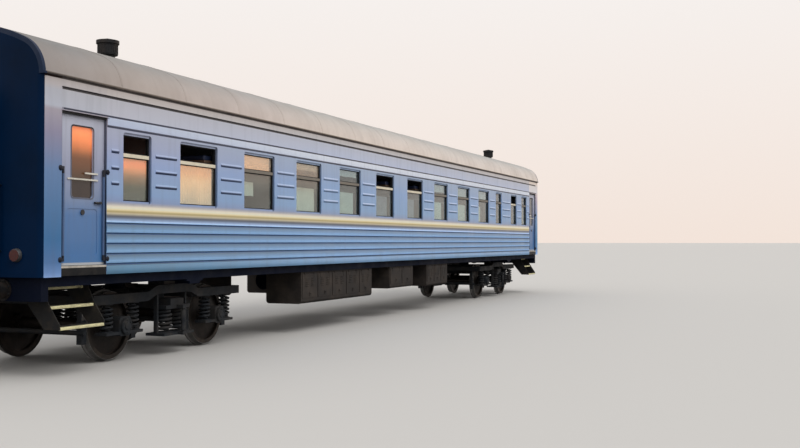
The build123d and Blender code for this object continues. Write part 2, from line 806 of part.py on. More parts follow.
# Buffers: a stepped housing, a plunger and a domed head, revolved about its axis
buffer_y = 870
buffer_z = flange + 1060
buffer_reach = 450
buffer_head_r = 170
buffer_face_r = 70
buffer_head_thick = 40
buffer_dome = 18
buffer_case_r = 105
buffer_case_length = 290
buffer_base_r = 130
buffer_base_thick = 20
buffer_rod_r = 80
with BuildPart() as buffers:
    for end in (1, -1):
        for side in (1, -1):
            case_x = half_length - end_wall + panel_seat
            head_x = half_length + buffer_reach
            with BuildSketch(Plane.XY.offset(buffer_z)):
                with BuildLine():
                    Polyline(
                        (end * head_x, side * buffer_y),
                        (end * case_x, side * buffer_y),
                        (end * case_x, side * (buffer_y + buffer_base_r)),
                        (end * (case_x + buffer_base_thick), side * (buffer_y + buffer_base_r)),
                        (end * (case_x + buffer_base_thick), side * (buffer_y + buffer_case_r)),
                        (end * (case_x + buffer_case_length), side * (buffer_y + buffer_case_r)),
                        (end * (case_x + buffer_case_length), side * (buffer_y + buffer_rod_r)),
                        (end * (head_x - buffer_head_thick), side * (buffer_y + buffer_rod_r)),
                        (end * (head_x - buffer_head_thick), side * (buffer_y + buffer_head_r)),
                        (end * (head_x - buffer_dome), side * (buffer_y + buffer_head_r)),
                        (end * head_x, side * (buffer_y + buffer_face_r)),
                        close=True,
                    )
                make_face()
            revolve(axis=Axis((0, side * buffer_y, buffer_z), (1, 0, 0)))
save(buffers.part, "buffers")

# Entry steps: three treads between two stringers under each side door
step_heights = (flange + 600, flange + 850, flange + 1080)
step_rise_in = 170
step_depth = 240
step_thick = 30
stringer_thick = 12
stringer_lip = 30
stringer_drop = 100
step_inset = 20
with BuildPart() as entry_steps:
    for end in (1, -1):
        for side in (1, -1):
            left = half_length - doorway_start - doorway_width
            for index, height in enumerate(step_heights):
                near_y = half_width - step_inset - index * step_rise_in
                with BuildSketch(Plane.XY.offset(height - step_thick)):
                    with Locations((end * (left + doorway_width / 2),
                                    side * (near_y - step_depth / 2))):
                        Rectangle(doorway_width, step_depth)
                extrude(amount=step_thick)
            for edge_x in (left + stringer_thick / 2, left + doorway_width - stringer_thick / 2):
                with BuildSketch(Plane.YZ.offset(end * edge_x - stringer_thick / 2)):
                    with BuildLine():
                        outer = half_width - step_inset
                        inner = outer - 2 * step_rise_in - step_depth
                        low = step_heights[0] - step_thick
                        Polyline(
                            (side * outer, low),
                            (side * outer, step_heights[0] + stringer_lip),
                            (side * (outer - step_rise_in), step_heights[1] + stringer_lip),
                            (side * (outer - 2 * step_rise_in), underframe_top_z),
                            (side * inner, underframe_top_z),
                            (side * inner, step_heights[2] - stringer_drop),
                            (side * (outer - step_depth), low),
                            close=True,
                        )
                    make_face()
                extrude(amount=stringer_thick)
save(entry_steps.part, "entry_steps")

# Handrails beside the side doors, each a bar between two brackets on the door posts
bracket_height = 40
with BuildPart() as handrails:
    for end in (1, -1):
        for side in (1, -1):
            for post, inward in ((doorway_start, 1), (doorway_start + doorway_width, -1)):
                bar_x = end * (half_length - post - inward * rail_bar_inset)
                post_x = end * (half_length - post - inward * panel_seat)
                bar_y = side * (half_width - rail_bar_r)
                with BuildSketch(Plane.XY.offset(rail_bar_bottom_z)):
                    with Locations((bar_x, bar_y)):
                        Circle(rail_bar_r)
                extrude(amount=rail_bar_top_z - rail_bar_bottom_z)
                for height in (rail_bar_bottom_z, rail_bar_top_z - bracket_height):
                    with BuildSketch(Plane.XY.offset(height)):
                        with Locations(((bar_x + post_x) / 2, bar_y)):
                            Rectangle(abs(post_x - bar_x), 2 * rail_bar_r)
                    extrude(amount=bracket_height)
save(handrails.part, "handrails")

# Boxes under the floor, as columns: middle from the coach's middle, length, side, width, drop, lids
battery_rows = [(-3465, 3170, -1, 720, 580, 5)]
equipment_rows = [
    (-200, 1400, -1, 620, 480, 2),
    (2150, 1500, -1, 700, 520, 3),
    (-4650, 1500, 1, 650, 520, 3),
    (-1200, 2000, 1, 700, 560, 4),
    (2600, 1600, 1, 620, 450, 2),
]
hang_z = underframe_top_z - sill_depth
box_inset = 120
box_corner_r = 60
lid_margin = 40
lid_proud = 10


def under_boxes(rows):
    """Boxes hung below the solebars, each with lids on its outer face."""
    with BuildPart() as boxes:
        for middle, length, side, width, drop, lids in rows:
            face_y = half_width - box_inset
            with BuildSketch(Plane.YZ.offset(middle - length / 2)) as section:
                with Locations((side * (face_y - width / 2), hang_z - panel_seat - drop / 2)):
                    Rectangle(width, drop)
                fillet(section.vertices().group_by(Axis.Y)[0], box_corner_r)
            extrude(amount=length)
            lid_width = (length - (lids + 1) * lid_margin) / lids
            lid_middle_z = hang_z - panel_seat - (drop - box_corner_r) / 2
            with BuildSketch(Plane.XZ.offset(-side * face_y)):
                with Locations((middle, lid_middle_z)):
                    with GridLocations(lid_width + lid_margin, 1, lids, 1):
                        Rectangle(lid_width, drop - box_corner_r - 2 * lid_margin)
            extrude(amount=-side * lid_proud)
    return boxes.part


save(under_boxes(battery_rows), "battery_box")
save(under_boxes(equipment_rows), "equipment_boxes")

# Air tanks under the centre sills, lying across their hangers
tank_r = 175
tank_length = 1500
tank_drop = 40
tank_places = (-3200, 1100)
hanger_thick = 20
cylinder_r = 160
cylinder_length = 620
cylinder_drop = 20
cylinder_place = 4910
cylinder_saddle = 200
with BuildPart() as air_gear:
    for middle_x in tank_places:
        tank_z = hang_z - tank_r - tank_drop
        with BuildSketch(Plane.YZ.offset(middle_x - tank_length / 2)):
            with Locations((0, tank_z)):
                Circle(tank_r)
        extrude(amount=tank_length)
        for shift in (-tank_length / 3, tank_length / 3):
            with BuildSketch(Plane.YZ.offset(middle_x + shift - hanger_thick / 2)):
                with Locations((0, (tank_z + hang_z - panel_seat) / 2)):
                    Rectangle(2 * centre_sill_y + centre_sill_width, hang_z - panel_seat - tank_z)
            extrude(amount=hanger_thick)

    # The brake cylinder hangs beside them from one centre sill
    cylinder_z = hang_z - panel_seat - cylinder_r - cylinder_drop
    with BuildSketch(Plane.YZ.offset(cylinder_place - cylinder_length / 2)):
        with Locations((centre_sill_y, cylinder_z)):
            Circle(cylinder_r)
    extrude(amount=cylinder_length)
    with BuildSketch(Plane.XY.offset(hang_z - panel_seat)):
        with Locations((cylinder_place, centre_sill_y)):
            Rectangle(cylinder_length / 2, cylinder_saddle)
    extrude(amount=-cylinder_r)
save(air_gear.part, "air_gear")

# Tail lamps on the end walls
lamp_r = 70
lamp_proud = 50
lamp_places = ((1150, flange + 1480), (-1150, flange + 1480), (1150, flange + 3480))
with BuildPart() as tail_lamps:
    for end in (1, -1):
        with BuildSketch(Plane.YZ.offset(end * (half_length + panel_seat))):
            with Locations(*lamp_places):
                Circle(lamp_r)
        extrude(amount=end * lamp_proud)
save(tail_lamps.part, "tail_lamps")

# End fittings: grab rails on the wall, and on the headstock the brake cocks and cable sockets
grab_y = 900
grab_r = 14
grab_bottom_z = flange + 1500
grab_top_z = flange + 2350
grab_stand = 70
cock_y = 330
cock_z = flange + 1000
cock_pipe_r = 24
cock_pipe_length = 110
cock_body_r = 38
cock_body_length = 90
cock_mouth_length = 60
cock_lever_length = 120
cock_lever_thick = 14
socket_y = 590
socket_z = flange + 1100
socket_width = 150
socket_height = 130
socket_depth = 70
socket_lid = 20
headstock_x = half_length - end_wall + panel_seat
with BuildPart() as end_fittings:
    for end in (1, -1):
        grab_x = end * (half_length + panel_seat + grab_stand - grab_r)
        with BuildSketch(Plane.XY.offset(grab_bottom_z)):
            with Locations((grab_x, grab_y), (grab_x, -grab_y)):
                Circle(grab_r)
        extrude(amount=grab_top_z - grab_bottom_z)
        with BuildSketch(Plane.YZ.offset(end * (half_length + panel_seat))):
            for side in (1, -1):
                with Locations((side * grab_y, grab_bottom_z + 2 * grab_r),
                               (side * grab_y, grab_top_z - 2 * grab_r)):
                    Circle(grab_r)
        extrude(amount=end * (grab_stand - grab_r))
        for side in (1, -1):
            cock_x = headstock_x + cock_pipe_length
            with BuildSketch(Plane.YZ.offset(end * headstock_x)):
                with Locations((side * cock_y, cock_z)):
                    Circle(cock_pipe_r)
            extrude(amount=end * cock_pipe_length)
            with BuildSketch(Plane.YZ.offset(end * cock_x)):
                with Locations((side * cock_y, cock_z)):
                    Circle(cock_body_r)
            extrude(amount=end * cock_body_length)
            mouth = Plane((end * (cock_x + cock_body_length - cock_body_r), side * cock_y, cock_z))
            with BuildSketch(mouth):
                Circle(cock_pipe_r)
            extrude(amount=-cock_body_r - cock_mouth_length)
            with BuildSketch(mouth):
                with Locations((0, side * cock_lever_length / 2)):
                    Rectangle(2 * cock_lever_thick, cock_lever_length + cock_body_r)
            extrude(amount=cock_lever_thick)
            with BuildSketch(Plane.YZ.offset(end * headstock_x)):
                with Locations((side * socket_y, socket_z)):
                    RectangleRounded(socket_width, socket_height, socket_lid)
            extrude(amount=end * socket_depth)
            with BuildSketch(Plane.YZ.offset(end * (headstock_x + socket_depth))):
                with Locations((side * socket_y, socket_z)):
                    RectangleRounded(socket_width + socket_lid, socket_height + socket_lid, socket_lid)
            extrude(amount=end * socket_lid)
save(end_fittings.part, "end_fittings")

# Curtains on the compartment side, as columns: window, share of its height; each on a rod
curtain_rows = ((3, 0.5), (4, 0.5), (5, 0.5), (6, 0.5), (7, 0.5), (8, 0.5), (9, 0.5))
curtain_thick = 10
curtain_extra = 60
rod_r = 8
rod_wall_gap = 8
rod_y = -(inner_half_width - rod_wall_gap - rod_r)
rod_bracket = 24
rod_fit = 0.3
with BuildPart() as curtains:
    for index, share in curtain_rows:
        centre, width = compartment_side_windows[index]
        drop = window_height * share
        with BuildSketch(Plane.XZ.offset(-rod_y - curtain_thick / 2)):
            with Locations((centre - half_length, window_bottom_z + drop / 2)):
                Rectangle(width + curtain_extra, drop)
        extrude(amount=curtain_thick)
save(curtains.part, "curtains")

with BuildPart() as curtain_rods:
    for index, share in curtain_rows:
        centre, width = compartment_side_windows[index]
        rod_z = window_bottom_z + window_height * share + rod_r + rod_fit
        rod_length = width + curtain_extra + 2 * rod_bracket
        with BuildSketch(Plane.YZ.offset(centre - half_length - rod_length / 2)):
            with Locations((rod_y, rod_z)):
                Circle(rod_r)
        extrude(amount=rod_length)
        for end in (1, -1):
            bracket_x = centre - half_length + end * (rod_length - rod_bracket) / 2
            with BuildSketch(Plane.XZ.offset(inner_half_width - panel_seat)):
                with Locations((bracket_x, rod_z)):
                    Rectangle(rod_bracket, 2 * rod_r)
            extrude(amount=-(inner_half_width - panel_seat + rod_y))
save(curtain_rods.part, "curtain_rods")

# Wheelset: both wheels and their axle, revolved about Y from one half outline


def wheelset(place_x):
    """One axle with its two wheels, at place_x along the coach."""
    inner = back_to_back / 2
    outer = inner + wheel_width
    hub_inner = inner + wheel_width / 2 - hub_length / 2
    hub_outer = hub_inner + hub_length
    web_inner = inner + wheel_width / 2 - web_thick / 2
    web_outer = web_inner + web_thick
    flange_r = tread_r + flange
    rim_r = tread_r - rim_depth
    half = [
        (axle_r, hub_inner),
        (hub_r, hub_inner),
        (hub_r, web_inner + web_dish),
        (rim_r, web_inner),
        (rim_r, inner),
        (flange_r - 8, inner),
        (flange_r, inner + 12),
        (flange_r - 6, inner + 24),
        (tread_r + 2, inner + 40),
        (tread_r - 3, outer),
        (rim_r, outer),
        (rim_r, web_outer),
        (hub_r, web_outer + web_dish),
        (hub_r, hub_outer),
        (axle_r, hub_outer),
        (axle_r, journal_centre - 110),
        (journal_r, journal_centre - 110),
        (journal_r, axle_length / 2),
        (0, axle_length / 2),
    ]
    outline = [(0, -axle_length / 2)]
    outline += [(radius, -across) for radius, across in reversed(half[:-1])]
    outline += half
    with BuildPart() as wheels:
        with BuildSketch(Plane.XY.offset(wheel_z)):
            with BuildLine():
                Polyline([(place_x + radius, across) for radius, across in outline], close=True)
            make_face()
        revolve(axis=Axis((place_x, 0, wheel_z), (0, 1, 0)))
    return wheels.part


for end, end_name in side_doors:
    for shift in (1, -1):
        axle_x = end * bogie_centre + shift * bogie_wheelbase / 2
        axle_name = "outer" if shift == end else "inner"
        save(wheelset(axle_x), f"wheelset_{end_name}_{axle_name}")

# Bogies
sideframe_y = journal_centre
sideframe_width = 150
sideframe_bottom_z = flange + 790
sideframe_height = 130
beam_width = 120
arch_rise = 90
arch_half_length = 420
arch_slope = 220
arch_corner_r = 220
transom_width = 140
transom_drop = 10
box_length = 250
box_height = 270
box_width = 200
box_round_r = 60
cover_r = 110
cover_proud = 35
wing_half_length = 400
wing_thick = 40
wing_z = wheel_z - 90
spring_r = 95
spring_shift = 285
spring_seat = 0.3
spring_coils = 6
coil_depth = 22
bolster_z = flange + 650
bogie_bolster_height = 150
bogie_bolster_width = 330
bogie_bolster_length = 2 * journal_centre + 240
bowl_r = 210
bowl_depth = 60
bowl_fit = 2
bearer_y = 760
bearer_length_x = 200
bearer_length_y = 150
bearer_gap = 10
pivot_bottom_z = underframe_top_z - bolster_depth - pivot_depth
plank_z = flange + 260
plank_thick = 40
plank_length = 760
plank_width = 330
link_shift = 355
link_thick = 40
link_width = 60
bolster_spring_r = 125
bolster_spring_shift = 160
damper_y = 1245
damper_r = 30
damper_cover_r = 38
damper_arm_width = 90
damper_arm_end = 30
spring_pad_length = 600
spring_pad_width = 280
spring_pad_thick = 50
block_gap = 8
block_thick = 60
block_overlap = 20
block_width = 85
block_height = 320
block_drop = 60
block_start = 45
hanger_width = 60
hanger_thick_x = 25
brake_beam_r = 35
brake_beam_length = 1800
brake_beam_shift = tread_r + block_gap + block_thick + 30
transom_x = bogie_wheelbase / 2 - brake_beam_shift
sideframe_half_length = bogie_wheelbase / 2 + brake_beam_shift + beam_width / 2


def coil_outline(centre_x, low_z, high_z, radius):
    """Half outline of one coil spring, with a groove between each two of its coils."""
    pitch = (high_z - low_z) / spring_coils
    points = [(centre_x, low_z), (centre_x + radius, low_z)]
    for coil in range(1, spring_coils):
        points.append((centre_x + radius - coil_depth, low_z + coil * pitch))
        points.append((centre_x + radius, low_z + (coil + 0.5) * pitch))
    points[-1] = (centre_x + radius, high_z)
    points.append((centre_x, high_z))
    return points


def bogie_pieces(end, end_name):
    """Every node of one bogie, centred at its pivot."""
    centre_x = end * bogie_centre
    with BuildPart() as frame:
        for side in (1, -1):
            with BuildSketch(Plane.XZ.offset(-side * sideframe_y + sideframe_width / 2)) as side_profile:
                with BuildLine():
                    top = sideframe_bottom_z + sideframe_height
                    Polyline(
                        (centre_x - sideframe_half_length, sideframe_bottom_z),
                        (centre_x - arch_half_length - arch_slope, sideframe_bottom_z),
                        (centre_x - arch_half_length, sideframe_bottom_z + arch_rise),
                        (centre_x + arch_half_length, sideframe_bottom_z + arch_rise),
                        (centre_x + arch_half_length + arch_slope, sideframe_bottom_z),
                        (centre_x + sideframe_half_length, sideframe_bottom_z),
                        (centre_x + sideframe_half_length, top),
                        (centre_x + arch_half_length + arch_slope, top),
                        (centre_x + arch_half_length, top + arch_rise),
                        (centre_x - arch_half_length, top + arch_rise),
                        (centre_x - arch_half_length - arch_slope, top),
                        (centre_x - sideframe_half_length, top),
                        close=True,
                    )
                make_face()
                bends = side_profile.vertices().group_by(Axis.X)[1:-1]
                fillet([bend for group in bends for bend in group], arch_corner_r)
            extrude(amount=-sideframe_width)
        with BuildSketch(Plane.XY.offset(sideframe_bottom_z)):
            with Locations((centre_x + transom_x, 0), (centre_x - transom_x, 0)):
                Rectangle(transom_width, 2 * sideframe_y)
            with Locations((centre_x + sideframe_half_length - beam_width / 2, 0),
                           (centre_x - sideframe_half_length + beam_width / 2, 0)):
                Rectangle(beam_width, 2 * sideframe_y)
        extrude(amount=sideframe_height - transom_drop)
    save(frame.part, f"bogie_frame_{end_name}")

    with BuildPart() as boxes:
        for shift in (1, -1):
            axle_x = centre_x + shift * bogie_wheelbase / 2
            for side in (1, -1):
                with BuildSketch(Plane.XZ.offset(-side * journal_centre + box_width / 2)):
                    with Locations((axle_x, wheel_z)):
                        RectangleRounded(box_length, box_height, box_round_r)
                    with Locations((axle_x, wing_z)):
                        Rectangle(2 * wing_half_length, wing_thick)
                    with Locations((axle_x, wheel_z)):
                        Circle(journal_r + bearing_fit, mode=Mode.SUBTRACT)
                extrude(amount=-box_width)
                cover_y = journal_centre + box_width / 2
                with BuildSketch(Plane.XZ.offset(-side * cover_y)):
                    with Locations((axle_x, wheel_z)):
                        Circle(cover_r)
                extrude(amount=-side * cover_proud)
    save(boxes.part, f"axleboxes_{end_name}")

    with BuildPart() as springs:
        axle_low_z = wing_z + wing_thick / 2 + spring_seat
        axle_high_z = sideframe_bottom_z - spring_seat
        bolster_low_z = plank_z + plank_thick + spring_seat
        bolster_high_z = bolster_z - spring_seat
        spring_rows = []
        for shift in (1, -1):
            axle_x = centre_x + shift * bogie_wheelbase / 2
            spring_rows.append((axle_x + spring_shift, axle_low_z, axle_high_z, spring_r))
            spring_rows.append((axle_x - spring_shift, axle_low_z, axle_high_z, spring_r))
            spring_x = centre_x + shift * bolster_spring_shift
            spring_rows.append((spring_x, bolster_low_z, bolster_high_z, bolster_spring_r))
        for side in (1, -1):
            for spring_x, low_z, high_z, radius in spring_rows:
                with BuildSketch(Plane.XZ.offset(-side * journal_centre)):
                    with BuildLine():
                        Polyline(*coil_outline(spring_x, low_z, high_z, radius), close=True)
                    make_face()
                revolve(axis=Axis((spring_x, side * journal_centre, 0), (0, 0, 1)))
            with BuildSketch(Plane.XY.offset(bolster_low_z)):
                with Locations((centre_x, side * damper_y)):
                    Circle(damper_r)
            extrude(amount=bolster_high_z - bolster_low_z)
            with BuildSketch(Plane.XY.offset((bolster_low_z + bolster_high_z) / 2)):
                with Locations((centre_x, side * damper_y)):
                    Circle(damper_cover_r)
            extrude(amount=(bolster_high_z - bolster_low_z) / 2 - damper_r)
    save(springs.part, f"bogie_springs_{end_name}")

    with BuildPart() as bolster:
        with BuildSketch(Plane.XY.offset(bolster_z)):
            with Locations((centre_x, 0)):
                Rectangle(bogie_bolster_width, bogie_bolster_length)
        extrude(amount=bogie_bolster_height)
        with BuildSketch(Plane.XY.offset(pivot_bottom_z - panel_seat)):
            with Locations((centre_x, 0)):
                Circle(bowl_r)
                Circle(pivot_r + bowl_fit, mode=Mode.SUBTRACT)
        extrude(amount=bowl_depth)
        with BuildSketch(Plane.XY.offset(bolster_z + bogie_bolster_height)):
            with Locations((centre_x, 0)):
                Circle(bowl_r)
        extrude(amount=pivot_bottom_z - panel_seat - bolster_z - bogie_bolster_height)
        bearer_z = bolster_z + bogie_bolster_height
        with BuildSketch(Plane.XY.offset(bearer_z)):
            with Locations((centre_x, bearer_y), (centre_x, -bearer_y)):
                Rectangle(bearer_length_x, bearer_length_y)
        extrude(amount=underframe_top_z - bolster_depth - bearer_gap - bearer_z)
        arm_reach = damper_y + damper_arm_end - journal_centre
        with BuildSketch(Plane.XY.offset(bolster_z)):
            for side in (1, -1):
                with Locations((centre_x, side * journal_centre)):
                    Rectangle(spring_pad_length, spring_pad_width)
                with Locations((centre_x, side * (journal_centre + arm_reach / 2))):
                    Rectangle(damper_arm_width, arm_reach)
        extrude(amount=spring_pad_thick)
        with BuildSketch(Plane.XY.offset(plank_z)):
            for side in (1, -1):
                with Locations((centre_x, side * journal_centre)):
                    Rectangle(plank_length, plank_width)
                with Locations((centre_x, side * (journal_centre + arm_reach / 2))):
                    Rectangle(damper_arm_width, arm_reach)
        extrude(amount=plank_thick)
        with BuildSketch(Plane.XY.offset(plank_z + plank_thick)):
            for side in (1, -1):
                with Locations((centre_x + link_shift, side * journal_centre),
                               (centre_x - link_shift, side * journal_centre)):
                    Rectangle(link_thick, link_width)
        extrude(amount=sideframe_bottom_z + arch_rise - plank_z - plank_thick - spring_seat)
    save(bolster.part, f"bogie_bolster_{end_name}")

    with BuildPart() as brakes:
        block_z = wheel_z - block_drop
        for shift in (1, -1):
            axle_x = centre_x + shift * bogie_wheelbase / 2
            for way in (1, -1):
                beam_x = axle_x + way * brake_beam_shift
                with BuildSketch(Plane.XZ.offset(brake_beam_length / 2)):
                    with Locations((beam_x, block_z)):
                        Circle(brake_beam_r)
                extrude(amount=-brake_beam_length)
                for side in (1, -1):
                    block_x = axle_x + way * (tread_r + block_gap + block_thick / 2 + block_overlap)
                    block_y = side * (back_to_back / 2 + block_start + block_width / 2)
                    with BuildSketch(Plane.XZ.offset(-block_y + block_width / 2)):
                        with Locations((block_x, block_z)):
                            Rectangle(block_thick + 2 * block_overlap, block_height)
                        with Locations((axle_x, wheel_z)):
                            Circle(tread_r + block_gap, mode=Mode.SUBTRACT)
                    extrude(amount=-block_width)
                    with BuildSketch(Plane.XY.offset(block_z)):
                        with Locations((beam_x, block_y)):
                            Rectangle(hanger_thick_x, hanger_width)
                    extrude(amount=sideframe_bottom_z - block_z - spring_seat)
    save(brakes.part, f"brake_gear_{end_name}")


for end, end_name in side_doors:
    bogie_pieces(end, end_name)
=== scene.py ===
import bpy, bmesh
from math import radians, cos, sin, pi
from mathutils import Matrix, Vector


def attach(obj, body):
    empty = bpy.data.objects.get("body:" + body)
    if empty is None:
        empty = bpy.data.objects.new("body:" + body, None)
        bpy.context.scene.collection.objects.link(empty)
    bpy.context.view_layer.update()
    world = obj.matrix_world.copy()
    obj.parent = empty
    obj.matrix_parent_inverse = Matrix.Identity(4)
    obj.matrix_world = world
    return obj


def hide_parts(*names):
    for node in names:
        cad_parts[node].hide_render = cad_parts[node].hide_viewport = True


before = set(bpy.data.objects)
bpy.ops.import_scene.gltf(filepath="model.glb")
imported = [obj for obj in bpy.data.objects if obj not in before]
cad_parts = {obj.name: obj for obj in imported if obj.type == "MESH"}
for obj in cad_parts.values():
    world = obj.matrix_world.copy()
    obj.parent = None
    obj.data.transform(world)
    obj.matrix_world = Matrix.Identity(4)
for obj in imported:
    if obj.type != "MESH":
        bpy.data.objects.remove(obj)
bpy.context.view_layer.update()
scene = bpy.context.scene
scene.view_settings.view_transform = "Standard"
print("frame loaded:", len(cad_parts), "nodes")


# node helpers

def paint(text):  # a colour as it is seen on a screen, made linear
    parts = [int(text[i:i + 2], 16) / 255 for i in (0, 2, 4)]
    return [p / 12.92 if p <= 0.04045 else ((p + 0.055) / 1.055) ** 2.4 for p in parts] + [1]


def link(tree, socket, value):
    if isinstance(value, bpy.types.NodeSocket):
        tree.links.new(value, socket)
    else:
        socket.default_value = paint(value) if isinstance(value, str) else value


def node(tree, kind, values=None, **settings):
    new = tree.nodes.new("ShaderNode" + kind)
    for name, value in settings.items():
        setattr(new, name, value)
    for name, value in (values or {}).items():
        link(tree, new.inputs[name], value)
    return new


def sums(tree, operation, a, b=0.0):
    return node(tree, "Math", {0: a, 1: b}, operation=operation).outputs[0]


def times(tree, a, b):
    return sums(tree, "MULTIPLY", a, b)


def minus(tree, a, b):
    return sums(tree, "SUBTRACT", a, b)


def apart(tree, value):  # how far from the middle, on either side
    return sums(tree, "ABSOLUTE", value)


def mixed(tree, share, a, b, blend="MIX"):
    return node(tree, "Mix", {0: share, 6: a, 7: b}, data_type="RGBA", blend_type=blend).outputs[2]


def distance(tree, a, b, c):  # from the origin
    spot = node(tree, "CombineXYZ", {0: a, 1: b, 2: c}).outputs[0]
    return node(tree, "VectorMath", {0: spot}, operation="LENGTH").outputs["Value"]


def axes(tree):
    parts = node(tree, "SeparateXYZ", {0: node(tree, "TexCoord").outputs["Object"]})
    return parts.outputs[0], parts.outputs[1], parts.outputs[2]


def noise(tree, scale, stretch=(1, 1, 1), detail=4.0):
    spot = node(tree, "Mapping", {"Vector": node(tree, "TexCoord").outputs["Object"], "Scale": stretch})
    return node(tree, "TexNoise", {"Vector": spot.outputs[0], "Scale": scale, "Detail": detail,
                                   "Roughness": 0.6}).outputs["Fac"]


def span(tree, value, low, high, start=0.0, end=1.0):  # value from low to high becomes start to end
    return node(tree, "MapRange", {"Value": value, "From Min": low, "From Max": high,
                                   "To Min": start, "To Max": end}).outputs[0]


def inside(tree, value, low, high, soft=0.002):  # 1 between low and high
    up = span(tree, value, low - soft, low + soft)
    down = span(tree, value, high - soft, high + soft, 1.0, 0.0)
    return times(tree, up, down)


def bands(tree, value, stops):  # stops: (value, colour), joined linearly
    low, high = stops[0][0], stops[-1][0]
    ramp = node(tree, "ValToRGB", {0: span(tree, value, low, high)})
    marks = ramp.color_ramp.elements
    while len(marks) < len(stops):
        marks.new(0.5)
    for mark, (at, colour) in zip(marks, stops):
        mark.position = (at - low) / (high - low)
    for mark, (at, colour) in zip(marks, stops):
        if isinstance(colour, str):
            mark.color = paint(colour)
        else:  # shares of red, green and blue, or one for all
            mark.color = (*colour, 1) if isinstance(colour, tuple) else (colour, colour, colour, 1)
    return ramp.outputs[0]


evening = {"along": (-5.6, -4.2), "across": (-0.5, 0.0)}  # its light falls in at end a, compartment side


def glow(*stops):  # a painted glow of the evening light that changes with the height, only towards end a
    def colour(tree):
        x, y, z = axes(tree)
        share = times(tree, span(tree, x, *evening["along"], 1.0, 0.0),
                      span(tree, y, *evening["across"], 1.0, 0.0))
        return mixed(tree, share, "000000", bands(tree, z, stops))
    return colour


def finish(name, colour, rough=0.5, height=None, bumpSize=0.002, strength=0.4, **fixed):
    mat = bpy.data.materials.new(name)
    mat.use_nodes = True
    tree = mat.node_tree
    shader = tree.nodes["Principled BSDF"]
    link(tree, shader.inputs["Base Color"], colour(tree))
    link(tree, shader.inputs["Roughness"], rough(tree) if callable(rough) else rough)
    if height:
        bump = node(tree, "Bump", {"Height": height(tree), "Distance": bumpSize, "Strength": strength})
        tree.links.new(bump.outputs[0], shader.inputs["Normal"])
    for key, value in fixed.items():
        link(tree, shader.inputs[key.replace("_", " ")], value(tree) if callable(value) else value)
    return mat


def dirty(tree, colour, dirt="5A5048", amount=0.5, scale=1.2, stretch=(1, 1, 1)):
    patches = span(tree, noise(tree, scale, stretch, 6.0), 0.42, 0.75)
    return mixed(tree, times(tree, patches, amount), colour, dirt)


def worn(*values):  # one colour under dirt
    return lambda tree: dirty(tree, *values)


def roughly(low, high, scale=3.0, stretch=(1, 1, 1)):  # roughness that varies over the piece
    return lambda tree: span(tree, noise(tree, scale, stretch), 0.3, 0.7, low, high)


def grains(scale, stretch=(1, 1, 1)):
    return lambda tree: noise(tree, scale, stretch, 6.0)


# places that finishes and pieces share

bodyEnd, seamPitch = 11.8, 1.475  # the roof's seams are counted from end a
bays = {"first": -8.508, "pitch": 1.772, "count": 9, "wide": 0.99}  # the compartments' windows
bothEnds = ((-1, "a"), (1, "b"))
corners = [(end, side) for end in (-1, 1) for side in (-1, 1)]


# finishes

